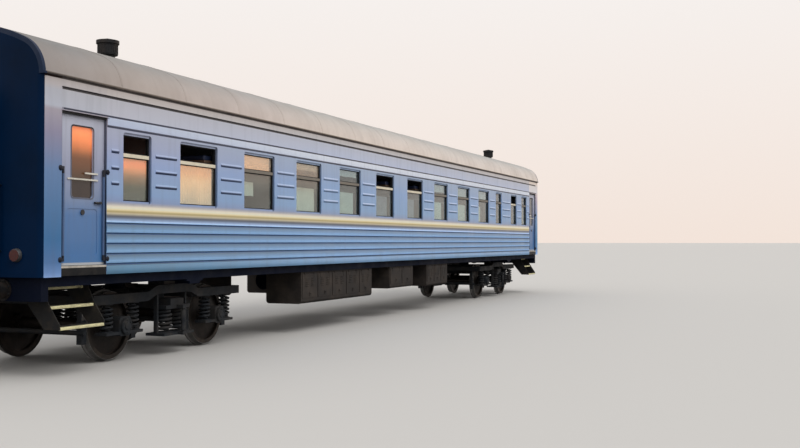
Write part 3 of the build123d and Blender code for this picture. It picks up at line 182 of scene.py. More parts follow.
sidePaint = {
    "plain": [(1.24, "98BCF4"), (1.30, "7CA2DA"), (1.42, "5F86BA"), (1.70, "4F7EAE"), (2.10, "6388B4"),
              (2.53, "7793BC"), (3.00, "A39DB4"), (3.262, "B9B0BA"), (3.308, "CACCD8"), (3.50, "C6C6CE"),
              (3.562, "CCC4C4"), (3.64, "C4BAB6")],
    # a painted highlight on the bead under the stripe (1.94) and on the cornice band (3.174 to 3.274)
    "striped": [(1.24, "74A2CC"), (1.31, "94BCE6"), (1.35, "8AB2DC"), (1.40, "94BAE6"), (1.84, "90B6E2"),
                (1.925, "9CC0EA"), (1.940, "BAD4FC"), (1.960, "A8C0E8"), (1.978, "808DA8"), (1.996, "606878"),
                (2.008, "72747A"), (2.020, "A39D92"), (2.040, "E0D2B0"), (2.058, "C6B27C"), (2.070, "C8B47C"),
                (2.086, "FFECB6"), (2.110, "FFFAE0"), (2.130, "FFF4DC"), (2.150, "D8D1CB"), (2.170, "B4B4C0"),
                (2.200, "98ACD0"), (2.30, "94B6DE"), (2.72, "96B6E2"), (2.95, "A4BADC"), (3.150, "A9BDD9"),
                (3.174, "E6EEFF"), (3.274, "EEF4FF"), (3.303, "C8D2EC"), (3.520, "C8CCDC"), (3.562, "D2CED0"),
                (3.64, "CCC4C2")],
    # towards end a: painted shade on the lower wall and on the cornice band, warmer painted light on the
    # window band
    "nearShadeAndLight": [(1.24, (0.44, 0.59, 0.59)), (1.36, (0.48, 0.63, 0.62)), (1.42, (0.80, 0.85, 0.83)),
                 (1.95, (0.80, 0.84, 0.83)), (2.02, (1.0, 1.0, 1.0)),
                 (2.17, (1.0, 1.0, 1.0)), (2.20, (0.90, 0.90, 0.97)), (2.45, (1.08, 0.97, 0.95)),
                 (2.72, (1.20, 0.99, 0.98)), (3.15, (1.22, 1.0, 0.93)), (3.18, (0.70, 0.74, 0.84)),
                 (3.27, (0.70, 0.74, 0.84)), (3.31, (1.08, 0.98, 0.86)), (3.64, (0.98, 0.94, 0.90))],
    # the tint at end b is painted light that makes the plain piers paler
    "nearTo": (-10.5, -4.0), "farLight": (1.55, 1.45, 1.3, 1.0), "farFrom": (-1.0, 1.0),
    "shadowLines": [  # painted shadows under the cornice and the drip, in the eaves groove and under the gutter: low, high, colour, ends at
        (3.145, 3.169, "232C4C", 10.63), (3.275, 3.302, "1D2440", 11.47), (3.522, 3.559, "241F22", 11.47),
        (3.644, 3.705, "2E1F1A", 12.0)],
    "panelEnd": 10.63, "navyFrom": 11.757, "pierInside": 1.38, "navy": "001E3E", "navyDirt": "03111F",
    "liningAt": 1.4505, "lining": "9EA09C", "liningDirt": "7C7A72",
    # the ribbed panel: a painted highlight just above each groove and painted shade growing towards the next
    # one, the groove itself dark with dirt and painted shade
    "ribLowest": 1.385, "ribPitch": 0.1315, "ribTop": 1.945, "ribBottom": 1.36, "groove": "3A5884",
    "ribLightAndShade": [(0.06, 1.40), (0.20, 1.50), (0.32, 1.40), (0.42, 1.10), (0.52, 0.88), (0.62, 0.72),
                 (0.72, 0.57), (0.82, 0.44), (0.90, 0.38)],
    # pier ribs: a painted highlight on the upper half of each and a painted shadow under it
    "pierRibs": (2.434, 2.635, 2.850), "pierRibHalf": 0.032, "pierRibEdge": 0.004, "pierRibProud": 1.5305,
    "pierRibShade": "2C3C60", "pierRibHighlight": "C4D4F2", "pierRibFade": (-8.5, -4.5),
    "streak": "6C6E78", "streaks": 0.18, "stripe": (2.03, 2.15), "stripeStreaks": 0.13,
    "dust": "6F6A63", "dustDown": (1.7, 1.25), "dustShare": 0.2,
}


# the navy of the ends is blue paint darkened with painted shade of the gap between coaches
navyPaint = worn(sidePaint["navy"], sidePaint["navyDirt"], 0.5)


def wallColour(tree):  # the painted bands of the wall, with painted shade and warmer painted light towards end a, and paler piers at end b from painted light
    x, z = axes(tree)[::2]
    near = span(tree, x, *sidePaint["nearTo"], 1.0, 0.0)
    striped = bands(tree, z, sidePaint["striped"])
    tint = bands(tree, z, sidePaint["nearShadeAndLight"])
    striped = mixed(tree, near, striped, mixed(tree, 1.0, striped, tint, "MULTIPLY"))
    past = span(tree, apart(tree, x), sidePaint["panelEnd"] - 0.001, sidePaint["panelEnd"])
    plain = bands(tree, z, sidePaint["plain"])
    far = span(tree, x, *sidePaint["farFrom"])
    plain = mixed(tree, far, plain, mixed(tree, 1.0, plain, sidePaint["farLight"], "MULTIPLY"))
    return mixed(tree, past, striped, plain)


def sideColour(tree):
    x, y, z = axes(tree)
    far = apart(tree, x)
    base = wallColour(tree)
    # painted highlight and shade across each rib, and dirt and painted shade in the grooves
    turn = sums(tree, "DIVIDE", minus(tree, z, sidePaint["ribLowest"]), sidePaint["ribPitch"])
    turn = sums(tree, "FRACT", turn)
    shade = sidePaint["ribLightAndShade"]
    lit = mixed(tree, 1.0, base, bands(tree, turn, shade), "MULTIPLY")
    lit = mixed(tree, inside(tree, turn, shade[0][0], shade[-1][0], 0.02), sidePaint["groove"], lit)
    ribbed = inside(tree, z, sidePaint["ribBottom"], sidePaint["ribTop"])
    panel = span(tree, far, sidePaint["panelEnd"] - 0.001, sidePaint["panelEnd"], 1.0, 0.0)
    base = mixed(tree, times(tree, ribbed, panel), base, lit)
    proud = span(tree, apart(tree, y), sidePaint["pierRibProud"], sidePaint["pierRibProud"] + 0.001)
    # a painted highlight over each pier rib and a painted shadow under it, the highlight growing and the
    # shadow fading towards end b
    for middle in sidePaint["pierRibs"]:
        edge, half = middle + sidePaint["pierRibEdge"], sidePaint["pierRibHalf"]
        under = times(tree, proud, inside(tree, z, middle - half, edge, 0.001))
        over = times(tree, proud, inside(tree, z, edge, middle + half, 0.001))
        under = times(tree, under, span(tree, x, *sidePaint["pierRibFade"], 1.0, 0.5))
        over = times(tree, over, span(tree, x, *sidePaint["pierRibFade"], 0.15, 0.85))
        base = mixed(tree, over, base, sidePaint["pierRibHighlight"])
        base = mixed(tree, under, base, sidePaint["pierRibShade"])
    streaks = span(tree, noise(tree, 1.0, (9, 9, 0.7), 5.0), 0.50, 0.78)
    washed = times(tree, inside(tree, z, *sidePaint["stripe"], 0.01), sidePaint["stripeStreaks"])
    washed = minus(tree, sidePaint["streaks"], washed)
    base = mixed(tree, times(tree, streaks, washed), base, sidePaint["streak"])
    dust = times(tree, span(tree, z, *sidePaint["dustDown"]), span(tree, noise(tree, 2.2), 0.35, 0.7))
    base = mixed(tree, times(tree, dust, sidePaint["dustShare"]), base, sidePaint["dust"])
    # painted shadow lines along the cornice, the drip, the eaves and the gutter
    for low, high, colour, end in sidePaint["shadowLines"]:
        share = times(tree, inside(tree, z, low, high, 0.0015), span(tree, far, end - 0.005, end, 1.0, 0.0))
        base = mixed(tree, share, base, colour)
    lining = span(tree, apart(tree, y), sidePaint["liningAt"], sidePaint["liningAt"] + 0.002, 1.0, 0.0)
    base = mixed(tree, lining, base, dirty(tree, sidePaint["lining"], sidePaint["liningDirt"], 0.3, 2.0))
    navy = span(tree, far, sidePaint["navyFrom"] - 0.002, sidePaint["navyFrom"])
    return mixed(tree, navy, base, navyPaint(tree))


def endWallColour(tree):  # only the corner piers have the side's paint
    inner = sidePaint["pierInside"]
    pier = span(tree, apart(tree, axes(tree)[1]), inner, inner + 0.002)
    return mixed(tree, pier, navyPaint(tree), sideColour(tree))


roofPaint = {
    # painted shade makes the roof darker towards its crown, where the sky lights it most, and a painted
    # shadow lies on the gutter (3.667 to 3.681)
    "up": [(3.60, "A99D98"), (3.664, "A69991"), (3.667, "2E1F1A"), (3.681, "33241E"), (3.685, "94867A"),
           (3.700, "B0A294"), (3.704, "FCF0E6"), (3.76, "F6E8DE"), (3.95, "DAD1CA"), (4.12, "B6B5B2"),
           (4.39, "9EA09D")],
    # painted shade along the roof, growing towards end a
    "along": [(-11.8, (0.40, 0.40, 0.41)), (-11.2, (0.445, 0.44, 0.45)), (-10.0, (0.57, 0.55, 0.545)),
              (-7.0, (0.74, 0.71, 0.71)), (-4.1, (0.86, 0.84, 0.82)), (-0.4, (0.94, 0.92, 0.90)),
              (3.4, (0.93, 0.92, 0.91))],
    "streak": "8F8178", "seam": "6E625A", "seamWide": 0.006, "dirt": "8D7E72", "navyFrom": 11.752,
}


def roofColour(tree):
    x, z = axes(tree)[::2]
    # painted shade up and along the roof
    base = mixed(tree, 1.0, bands(tree, z, roofPaint["up"]), bands(tree, x, roofPaint["along"]), "MULTIPLY")
    streaks = span(tree, noise(tree, 1.0, (7, 0.6, 0.6), 6.0), 0.45, 0.75)
    base = mixed(tree, times(tree, streaks, 0.16), base, roofPaint["streak"])
    turn = sums(tree, "FRACT", sums(tree, "DIVIDE", sums(tree, "ADD", x, bodyEnd), seamPitch))
    seam = times(tree, inside(tree, turn, 0.0, roofPaint["seamWide"]), 0.3)
    base = dirty(tree, mixed(tree, seam, base, roofPaint["seam"]), roofPaint["dirt"], 0.25, 1.6)
    navy = span(tree, apart(tree, x), roofPaint["navyFrom"] - 0.002, roofPaint["navyFrom"])
    return mixed(tree, navy, base, sidePaint["navy"])


def endColour(tree):
    base = bands(tree, axes(tree)[2], [(1.2, "020C1C"), (2.0, "02142C"), (3.4, "021A38"), (4.4, "04203E")])
    return dirty(tree, base, "10161C", 0.55, 1.4, (1, 1, 0.5))


doorPaint = {
    "up": [(1.36, "6A88B0"), (1.40, "487AB2"), (2.00, "5A82B6"), (2.20, "8698BA"), (2.70, "AEB2CA"),
           (3.20, "C8CADA")],
    "streak": "66666C", "foot": "C9C6BE", "footAt": (1.376, 1.41), "fittingsOut": 1.4904, "barsFrom": 2.30,
}


def doorColour(tree):
    y, z = axes(tree)[1:]
    base = bands(tree, z, doorPaint["up"])
    streaks = span(tree, noise(tree, 1.0, (12, 12, 0.8), 5.0), 0.5, 0.8)
    base = mixed(tree, times(tree, streaks, 0.25), base, doorPaint["streak"])
    base = mixed(tree, times(tree, inside(tree, z, *doorPaint["footAt"]), 0.7), base, doorPaint["foot"])
    proud = span(tree, apart(tree, y), doorPaint["fittingsOut"], doorPaint["fittingsOut"] + 0.0004)
    bars = span(tree, z, doorPaint["barsFrom"], doorPaint["barsFrom"] + 0.01)  # cream, lock and lever dark
    fittings = mixed(tree, bars, dirty(tree, "1B1C22", "4A4540", 0.5, 20.0),
                     dirty(tree, "EFE9DA", "A79F90", 0.5, 12.0))
    return mixed(tree, proud, base, fittings)


sashes = {  # middle and width of the windows that stand open, and of those outside the row of bays
    "open": [(-9.99, 0.62), (-8.508, 0.99), (-1.42, 0.99), (0.352, 0.99), (8.775, 0.65)],
    "single": [(-9.99, 0.62), (7.15, 0.62), (7.9, 0.99), (8.775, 0.65), (9.7, 0.62), (9.99, 0.62)],
    "row": (-9.1, 6.4), "clear": (0.2387, 0.7613), "rim": 0.032, "bar": (2.7935, 2.8425), "flangeOut": 1.5062,
    "rubber": "182036",
}


def frameColour(tree):  # the flat flange is painted, the reveal is dark rubber, the sash bar light alloy; beside the panes the flange takes rubber colour, most on its +x side as painted shade of the reveal
    x, y, z = axes(tree)
    deep = apart(tree, y)
    flange = dirty(tree, wallColour(tree), "6C6E78", 0.25, 4.0)
    opened = 0.0
    for middle, width in sashes["open"]:
        opened = sums(tree, "MAXIMUM", opened,
                      inside(tree, x, middle - width / 2 + 0.03, middle + width / 2 - 0.03))
    opened = times(tree, opened, span(tree, y, -0.1, 0.1, 1.0, 0.0))
    turn = minus(tree, x, bays["first"] - bays["pitch"] / 2)
    turn = sums(tree, "FRACT", sums(tree, "DIVIDE", turn, bays["pitch"]))
    barred = times(tree, inside(tree, turn, *sashes["clear"], 0.001), inside(tree, x, *sashes["row"]))
    # rubber colour on the flange, 0.4 on the left and 0.9 on the +x half of each window, painted shade of the
    # reveal
    shadedRubber = times(tree, span(tree, turn, 0.49, 0.51), inside(tree, x, *sashes["row"]))
    for middle, width in sashes["single"]:
        barred = sums(tree, "MAXIMUM", barred,
                      inside(tree, x, middle - width / 2 + sashes["rim"], middle + width / 2 - sashes["rim"]))
        shadedRubber = sums(tree, "MAXIMUM", shadedRubber, inside(tree, x, middle, middle + width / 2 + 0.02))
    shadedRubber = span(tree, shadedRubber, 0.0, 1.0, 0.4, 0.9)
    sash = mixed(tree, opened, dirty(tree, "857C70", "6A6258", 0.5, 6.0),
                 dirty(tree, "F4E8CE", "A39A88", 0.4, 6.0))
    flange = mixed(tree, times(tree, minus(tree, 1.0, barred), shadedRubber), flange, sashes["rubber"])
    bar = inside(tree, z, *sashes["bar"], 0.0005)
    inner = mixed(tree, bar, dirty(tree, "0D0F16", "262626", 0.6, 8.0), sash)
    outer = mixed(tree, times(tree, bar, barred), flange, sash)
    return mixed(tree, span(tree, deep, sashes["flangeOut"], sashes["flangeOut"] + 0.001), inner, outer)


panes = {
    # warm and cool: a painted reflection of the evening sky, warm towards end a
    "warm": [(2.18, "CCD8D2"), (2.55, "D2D8CE"), (2.72, "DCD4C4"), (2.86, "E8D2BC"), (3.10, "EEDCC6")],
    "cool": [(2.18, "C2D4D0"), (2.72, "C6D4D2"), (3.10, "BCCCD4")], "warmUpTo": (-4.3, -4.0),
    "clear": 0.95, "dust": 0.06, "topReflectionUp": (2.5, 3.0), "topReflection": (0.28, 0.02),
    # frost: painted evening light on frosted glass
    "frost": [(2.18, "8C887A"), (2.42, "A59A84"), (2.58, "D8A888"), (2.70, "FFB488"), (2.79, "F0C8A4"),
              (3.08, "E8CDB4")],
    # door: a painted reflection of the evening sky, orange at the top
    "door": [(2.22, "3C3230"), (2.40, "443834"), (2.46, "5E4834"), (2.71, "84593A"), (2.85, "E09058"),
             (3.02, "FFAC6C"), (3.10, "E89A68")],
}


def paneColour(tree):  # dusty panes with a painted reflection of the evening sky, warmer and paler towards the top and towards end a
    x, z = axes(tree)[::2]
    warm, cool = bands(tree, z, panes["warm"]), bands(tree, z, panes["cool"])
    return dirty(tree, mixed(tree, span(tree, x, *panes["warmUpTo"]), warm, cool), "B4B8AC", 0.3, 1.3)


def paneClear(tree):  # how much is seen through, less where dust lies, and less high up towards end a, where the reflection is painted
    x, z = axes(tree)[::2]
    dust = span(tree, noise(tree, 2.3), 0.4, 0.7, 0.0, panes["dust"])
    top = times(tree, span(tree, z, *panes["topReflectionUp"]), span(tree, x, *panes["warmUpTo"], *panes["topReflection"]))
    return minus(tree, minus(tree, panes["clear"], top), dust)


def frostColour(tree):  # frosted glass with a painted glow of the evening light, warm towards end a
    x, z = axes(tree)[::2]
    warm = bands(tree, z, panes["frost"])
    return dirty(tree, mixed(tree, span(tree, x, *evening["along"]), warm, "98A0A0"), "86806F", 0.3, 2.5)


# the pane of side door a with a painted reflection of the evening sky
def doorPaneColour(tree):
    return dirty(tree, bands(tree, axes(tree)[2], panes["door"]), "6A543F", 0.35, 2.0)


def sillColour(tree):  # a worn alloy nose over a dark board
    return mixed(tree, span(tree, axes(tree)[2], 1.348, 1.350), dirty(tree, "101318", "3A342E", 0.6, 6.0),
                 dirty(tree, "DAD4C8", "77706A", 0.6, 8.0))


paintRough = roughly(0.34, 0.52, 2.0, (1, 1, 0.4))
sideMat = finish("coachSidePaint", sideColour, paintRough, grains(1.6), 0.004, 0.25, Coat_Weight=0.15)
endWallMat = finish("endWallPaint", endWallColour, paintRough, grains(1.6), 0.004, 0.25,
                    Specular_IOR_Level=0.06)
roofMat = finish("roofPaint", roofColour, roughly(0.55, 0.8), grains(2.5), 0.004, 0.35)
endMat = finish("gangwayPaint", endColour, roughly(0.45, 0.7), grains(3.0), 0.003, 0.3,
                Specular_IOR_Level=0.14)
doorMat = finish("doorPaint", doorColour, paintRough, grains(3.0), 0.002, 0.25, Coat_Weight=0.15)
windowFrameMat = finish("windowFrameRubber", frameColour, roughly(0.45, 0.65, 8.0), grains(30.0), 0.0008, 0.3)
ventMat = finish("ventPaint", worn("15161A", "4A4038", 0.5, 5.0), roughly(0.5, 0.75, 6.0),
                 grains(12.0), 0.002, 0.4, Specular_IOR_Level=0.3)
glassMat = finish("dustyGlassPaintedReflection", paneColour, 0.04, Transmission_Weight=paneClear, IOR=1.5)
# a painted glow of evening light on that pane
doorGlow = glow((2.22, "0A0806"), (2.44, "100B08"), (2.75, "743A1C"), (2.93, "FF8A50"), (3.08, "FF9560"))
doorGlassMat = finish("doorGlass", doorPaneColour, 0.05, Transmission_Weight=0.25, IOR=1.5,
                      Emission_Color=doorGlow, Emission_Strength=0.35)
sidePaneMat = finish("shadedDoorGlass", worn("5C6470", "8A8C8C", 0.4, 2.0), 0.05, Transmission_Weight=0.5,
                     IOR=1.5)
underMat = finish("dustyUnderframe", worn("010A20", "0A121C", 0.6, 2.5), roughly(0.6, 0.85),
                  grains(14.0), 0.003, 0.5, Specular_IOR_Level=0.15)
castMat = finish("castIron", worn("23272C", "423B34", 0.65, 4.0), roughly(0.6, 0.85, 5.0),
                 grains(40.0), 0.003, 0.6, Specular_IOR_Level=0.3)
boxMat = finish("boxPaint", worn("2C2826", "554B43", 0.65, 3.0), roughly(0.55, 0.8), grains(8.0),
                0.003, 0.4, Specular_IOR_Level=0.25)


wheels = {"height": 0.503, "rim": (0.395, 0.462), "treadFrom": (0.468, 0.471), "treadOut": (0.72, 0.75),
          "places": {"a_outer": -9.7, "a_inner": -7.3, "b_inner": 7.3, "b_outer": 9.7}}


def wheelColour(axleX):
    def colour(tree):
        x, y, z = axes(tree)
        radius = distance(tree, minus(tree, x, axleX), 0.0, minus(tree, z, wheels["height"]))
        base = dirty(tree, "231F1D", "453A32", 0.6, 5.0)
        rim = inside(tree, radius, *wheels["rim"])
        base = mixed(tree, rim, base, dirty(tree, "2E2925", "55483C", 0.6, 9.0))
        tread = times(tree, span(tree, radius, *wheels["treadFrom"]),
                      span(tree, apart(tree, y), *wheels["treadOut"]))
        return mixed(tree, tread, base, dirty(tree, "8E8C8A", "5E5852", 0.5, 14.0))
    return colour


wheelMats = {name: finish("wheelSteel_" + name, wheelColour(at), roughly(0.35, 0.7, 6.0), grains(20.0), 0.002,
                          0.4, Metallic=0.45)
             for name, at in wheels["places"].items()}
steelMat = finish("wornSteel", worn("6F7072", "4A4038", 0.6, 8.0), roughly(0.3, 0.6, 8.0),
                  grains(30.0), 0.001, 0.4, Metallic=0.8)
rubberMat = finish("rollRubber", worn("101113", "2C2926", 0.6, 3.0, (1, 1, 0.4)), roughly(0.55, 0.85),
                   grains(25.0), 0.003, 0.5, Specular_IOR_Level=0.25)


def railColour(tree):  # blue, near black at the ends where hands and brackets are
    z = axes(tree)[2]
    ends = sums(tree, "ADD", inside(tree, z, 1.3, 1.50), inside(tree, z, 2.50, 2.66))
    return mixed(tree, ends, dirty(tree, "4A648C", "3A4458", 0.4, 6.0), "0E1424")


def postColour(tree):  # rubber with the doorway's painted shade, darker low down and paler towards the top, and a painted shadow under the door head
    return dirty(tree, bands(tree, axes(tree)[2], [
        (1.38, "0E2440"), (2.20, "1C3050"), (2.70, "4A5064"), (3.22, "5E6070"), (3.235, "08090E"),
        (3.27, "08090E")]), "3A3C44", 0.3, 6.0)


def doorSealColour(tree):  # faded rubber with a painted shadow along the top
    return dirty(tree, bands(tree, axes(tree)[2], [
        (2.20, "6E7282"), (3.088, "62626F"), (3.098, "14151C"), (3.14, "14151C")]), "3A3C44", 0.3, 8.0)


# cloth with a painted glow, as if lit from behind, though no lamp is there
def clothFinish(name, colour, shine, strength):
    return finish(name, colour, roughly(0.75, 0.9, 20.0), grains(400.0), 0.0006, 0.5, Sheen_Weight=0.3,
                  Emission_Color=shine, Emission_Strength=strength)


railMat = finish("handrailPaint", railColour, roughly(0.35, 0.6, 8.0))
sillMat = finish("sillAlloy", sillColour, roughly(0.35, 0.65, 8.0), grains(60.0), 0.001, 0.5, Metallic=0.5)
stepMat = finish("stepPaint", worn("17181A", "4A4238", 0.6, 6.0), roughly(0.5, 0.8, 6.0),
                 grains(40.0), 0.002, 0.5, Specular_IOR_Level=0.3)
panelMat = finish("laminatePanel", worn("7E838C", "5C6068", 0.4, 2.0, (1, 1, 0.3)), roughly(0.3, 0.5),
                  grains(50.0), 0.0005, 0.3)
floorMat = finish("floorLino", worn("4C4238", "2E2924", 0.6, 5.0), roughly(0.4, 0.65), grains(30.0),
                  0.001, 0.3)
woodMat = finish("berthLaminate", worn("5A483A", "3A2E24", 0.7, 3.0, (0.4, 6, 6)),
                 roughly(0.35, 0.5), grains(20.0, (0.3, 4, 4)), 0.0008, 0.4)
cushionMat = finish("cushionLeather", worn("1E2A48", "141C30", 0.6, 6.0), roughly(0.4, 0.6, 20.0),
                    grains(180.0), 0.001, 0.5)
curtainMat = clothFinish("curtainCloth", worn("E0E6DC", "BCC2B8", 0.5, 5.0), "DCE6E4", 0.34)
shadedCurtainMat = clothFinish("shadedCurtainCloth", worn("B4B8C4", "969AA6", 0.5, 5.0), "BCC2D4", 0.2)
# painted warm evening light glowing in the curtains at end a
warmGlow = glow((2.18, "BCAA9E"), (2.40, "E2BCA2"), (2.56, "FFCAA4"), (2.70, "FFC096"), (2.79, "F0C4A0"),
                (2.86, "DCC6AE"), (3.08, "E8CBAF"))
warmCurtainMat = clothFinish("warmCurtainCloth", worn("F0D4B4", "D8B894", 0.5, 3.0), warmGlow, 1.0)
# a painted glow of evening light on the frosted panes, which hold no lamp
frostGlow = glow((2.18, "2A2822"), (2.40, "3E3628"), (2.54, "9A6E50"), (2.66, "FFAE78"), (2.74, "FFA878"),
                 (2.79, "A88C70"), (2.86, "B4AE98"), (3.08, "B4B2A0"))
frostMat = finish("frostedGlass", frostColour, roughly(0.5, 0.7, 30.0), grains(300.0), 0.0004, 0.5,
                  Transmission_Weight=0.15, IOR=1.5, Emission_Color=frostGlow, Emission_Strength=0.8)
lampMat = finish("lampRed", worn("4A0A09", "240605", 0.6, 20.0), 0.15, Coat_Weight=0.5)


buffers = {"y": 0.870, "z": 1.088, "face": (12.225, 12.235), "rubbed": (0.09, 0.15),
           "greased": (0.075, 0.095), "ragged": 0.03, "boltX": 11.741, "bolts": 8, "boltCircle": 0.116,
           "boltR": 0.011, "boltHigh": 0.012}


def bufferColour(tree):  # a greased middle and a rubbed ring on the head
    x, y, z = axes(tree)
    radius = distance(tree, 0.0, minus(tree, apart(tree, y), buffers["y"]), minus(tree, z, buffers["z"]))
    face = span(tree, apart(tree, x), *buffers["face"])
    base = dirty(tree, "2B2B2D", "5A4A3C", 0.6, 6.0)
    ragged = sums(tree, "ADD", radius, times(tree, noise(tree, 14.0), buffers["ragged"]))
    rubbed = times(tree, face, inside(tree, ragged, *buffers["rubbed"], 0.012))
    greased = times(tree, face, span(tree, ragged, *buffers["greased"], 1.0, 0.0))
    return mixed(tree, greased, mixed(tree, rubbed, base, "45413C"), "1A1816")


bufferMat = finish("bufferSteel", bufferColour, roughly(0.35, 0.7, 6.0), grains(20.0), 0.002, 0.4,
                   Metallic=0.6)
sealMat = finish("sealRubber", worn("0A0A0C", "242322", 0.5, 10.0), roughly(0.5, 0.7, 10.0),
                 grains(60.0), 0.0006, 0.4, Specular_IOR_Level=0.3)
doorSealMat = finish("doorSealRubber", doorSealColour, roughly(0.5, 0.7, 10.0), grains(60.0), 0.0006, 0.4)
postMat = finish("postRubber", postColour, roughly(0.5, 0.7, 10.0), grains(60.0), 0.0006, 0.4)

dressed = [  # finish, nodes it goes on
    (sideMat, ["side_wall_compartment", "side_wall_corridor"]),
    (endWallMat, ["end_wall_a", "end_wall_b"]),
    (roofMat, ["roof"]),
    (ventMat, ["roof_vents"]),
    (endMat, ["end_door_a", "end_door_b", "gangway_portals"]),
    (doorMat, ["side_door_a_compartment", "side_door_a_corridor", "side_door_b_compartment",
               "side_door_b_corridor", "door_hinges"]),
    (windowFrameMat, ["window_frames"]),
    (glassMat, ["window_glass", "end_door_glass_a", "end_door_glass_b"]),
    (doorGlassMat, ["side_door_glass_a_compartment"]),
    (sidePaneMat, ["side_door_glass_a_corridor", "side_door_glass_b_compartment",
                   "side_door_glass_b_corridor"]),
    (underMat, ["underframe", "air_gear", "end_fittings", "couplers"]),
    (castMat, [part + "_" + end for end in "ab"
               for part in ("bogie_frame", "bogie_bolster", "axleboxes", "brake_gear", "bogie_springs")]),
    (boxMat, ["battery_box", "equipment_boxes"]),
    *[(wheelMats[name], ["wheelset_" + name]) for name in wheelMats],
    (steelMat, ["gangway_plates", "curtain_rods"]),
    (bufferMat, ["buffers"]),
    (rubberMat, ["gangway_rolls"]),
    (railMat, ["handrails"]),
    (sillMat, ["door_sills"]),
    (stepMat, ["entry_steps"]),
    (panelMat, ["partitions", "bulkheads", "corridor_wall", "ceiling"]),
    (floorMat, ["floor_deck"]),
    (woodMat, ["berth_frames", "tables"]),
    (cushionMat, ["berth_cushions"]),
    (curtainMat, ["curtains"]),
    (lampMat, ["tail_lamps"]),
]
for mat, names in dressed:
    for name in names:
        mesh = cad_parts[name].data
        mesh.materials.clear()
        mesh.materials.append(mat)
print("finishes on", sum(len(names) for mat, names in dressed), "of", len(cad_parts), "nodes")


# making pieces

def showPiece(name, bm, mat, body="coach", sharp=40):
    bmesh.ops.remove_doubles(bm, verts=bm.verts, dist=0.00005)
    bmesh.ops.recalc_face_normals(bm, faces=bm.faces)
    mesh = bpy.data.meshes.new(name)
    bm.to_mesh(mesh)
    bm.free()
    mesh.polygons.foreach_set("use_smooth", [True] * len(mesh.polygons))
    mesh.set_sharp_from_angle(angle=radians(sharp))
    mesh.materials.append(mat)
    piece = bpy.data.objects.new(name, mesh)
    scene.collection.objects.link(piece)
    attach(piece, body)
    return piece


def template(bm):  # a shape that is copied, made once
    bmesh.ops.remove_doubles(bm, verts=bm.verts, dist=0.00005)
    mesh = bpy.data.meshes.new("template")
    bm.to_mesh(mesh)
    bm.free()
    return mesh


def addCopy(bm, shape, spot, turn=None):
    copy = shape.copy()
    copy.transform(Matrix.Translation(spot) @ (turn or Matrix.Identity(4)))
    bm.from_mesh(copy)
    bpy.data.meshes.remove(copy)


def edgesAt(verts):
    return list({e for v in verts for e in v.link_edges})


def soften(bm, geom, offset, segments=1, affect="EDGES"):
    return bmesh.ops.bevel(bm, geom=geom, affect=affect, offset=offset, segments=segments, profile=0.5,
                           material=-1)


def lathe(bm, points, centre, axis, steps=24):  # points: (out from the axis, along the axis)
    axis = Vector(axis).normalized()
    out = axis.orthogonal().normalized()
    verts = [bm.verts.new(Vector(centre) + out * r + axis * along) for r, along in points]
    edges = [bm.edges.new(pair) for pair in zip(verts, verts[1:])]
    bmesh.ops.spin(bm, geom=verts + edges, cent=centre, axis=axis, angle=2 * pi, steps=steps, use_merge=True)


def coil(bm, low, high, radius, wire, turns, hand=1, steps=14, sides=8):  # a spring round the z axis
    spot = Matrix.Translation((radius, 0, low + wire)) @ Matrix.Rotation(pi / 2, 4, "X")
    ring = bmesh.ops.create_circle(bm, cap_ends=True, segments=sides, radius=wire, matrix=spot)["verts"]
    geom = edgesAt(ring) + list({f for v in ring for f in v.link_faces}) + ring
    count = int(turns * steps)
    bmesh.ops.spin(bm, geom=geom, cent=(0, 0, low), axis=(0, 0, hand), angle=turns * 2 * pi, steps=count,
                   dvec=(0, 0, (high - low - 2 * wire) / count), use_duplicate=False)


# bogie springs and dampers

bogieX, axleShift, journalY = 8.5, 1.2, 1.018
springs = {"axleShift": 0.285, "axleLow": 0.4335, "axleHigh": 0.8175, "axleRadius": 0.094, "axleWire": 0.0165,
           "axleTurns": 5.5, "bolsterShift": 0.16, "bolsterLow": 0.3285, "bolsterHigh": 0.6775,
           "bolsterRadius": 0.124, "bolsterWire": 0.021, "bolsterTurns": 4.75, "seat": 0.012,
           "innerRadius": 0.52, "innerWire": 0.62, "innerTurns": 1.4,  # shares of the outer spring's
           "damperY": 1.245, "damperTube": 0.030, "damperCover": 0.038, "damperEye": 0.018}


def springNest(kind):
    parts = ("Low", "High", "Radius", "Wire", "Turns")
    low, high, radius, wire, turns = [springs[kind + part] for part in parts]
    bm = bmesh.new()
    seat = springs["seat"]
    for z in (low, high - seat):
        lathe(bm, [(0, z), (radius - 0.006, z), (radius, z + 0.003), (radius, z + seat - 0.003),
                   (radius - 0.006, z + seat), (0, z + seat)], (0, 0, 0), (0, 0, 1), 20)
    coil(bm, low + seat, high - seat, radius - wire, wire, turns)
    coil(bm, low + seat, high - seat, radius * springs["innerRadius"], wire * springs["innerWire"],
         turns * springs["innerTurns"], -1, 10, 6)
    return template(bm)


def damper(low, high):
    bm = bmesh.new()
    tube, cover, eye = springs["damperTube"], springs["damperCover"], springs["damperEye"]
    middle = (low + high) / 2
    lathe(bm, [(0, low), (eye, low), (eye, low + 0.02), (tube, low + 0.026), (tube, middle - 0.02),
               (cover - 0.002, middle - 0.018), (cover, middle - 0.014), (cover, high - 0.03),
               (cover - 0.006, high - 0.022), (eye, high - 0.02), (eye, high), (0, high)],
          (0, 0, 0), (0, 0, 1))
    return template(bm)


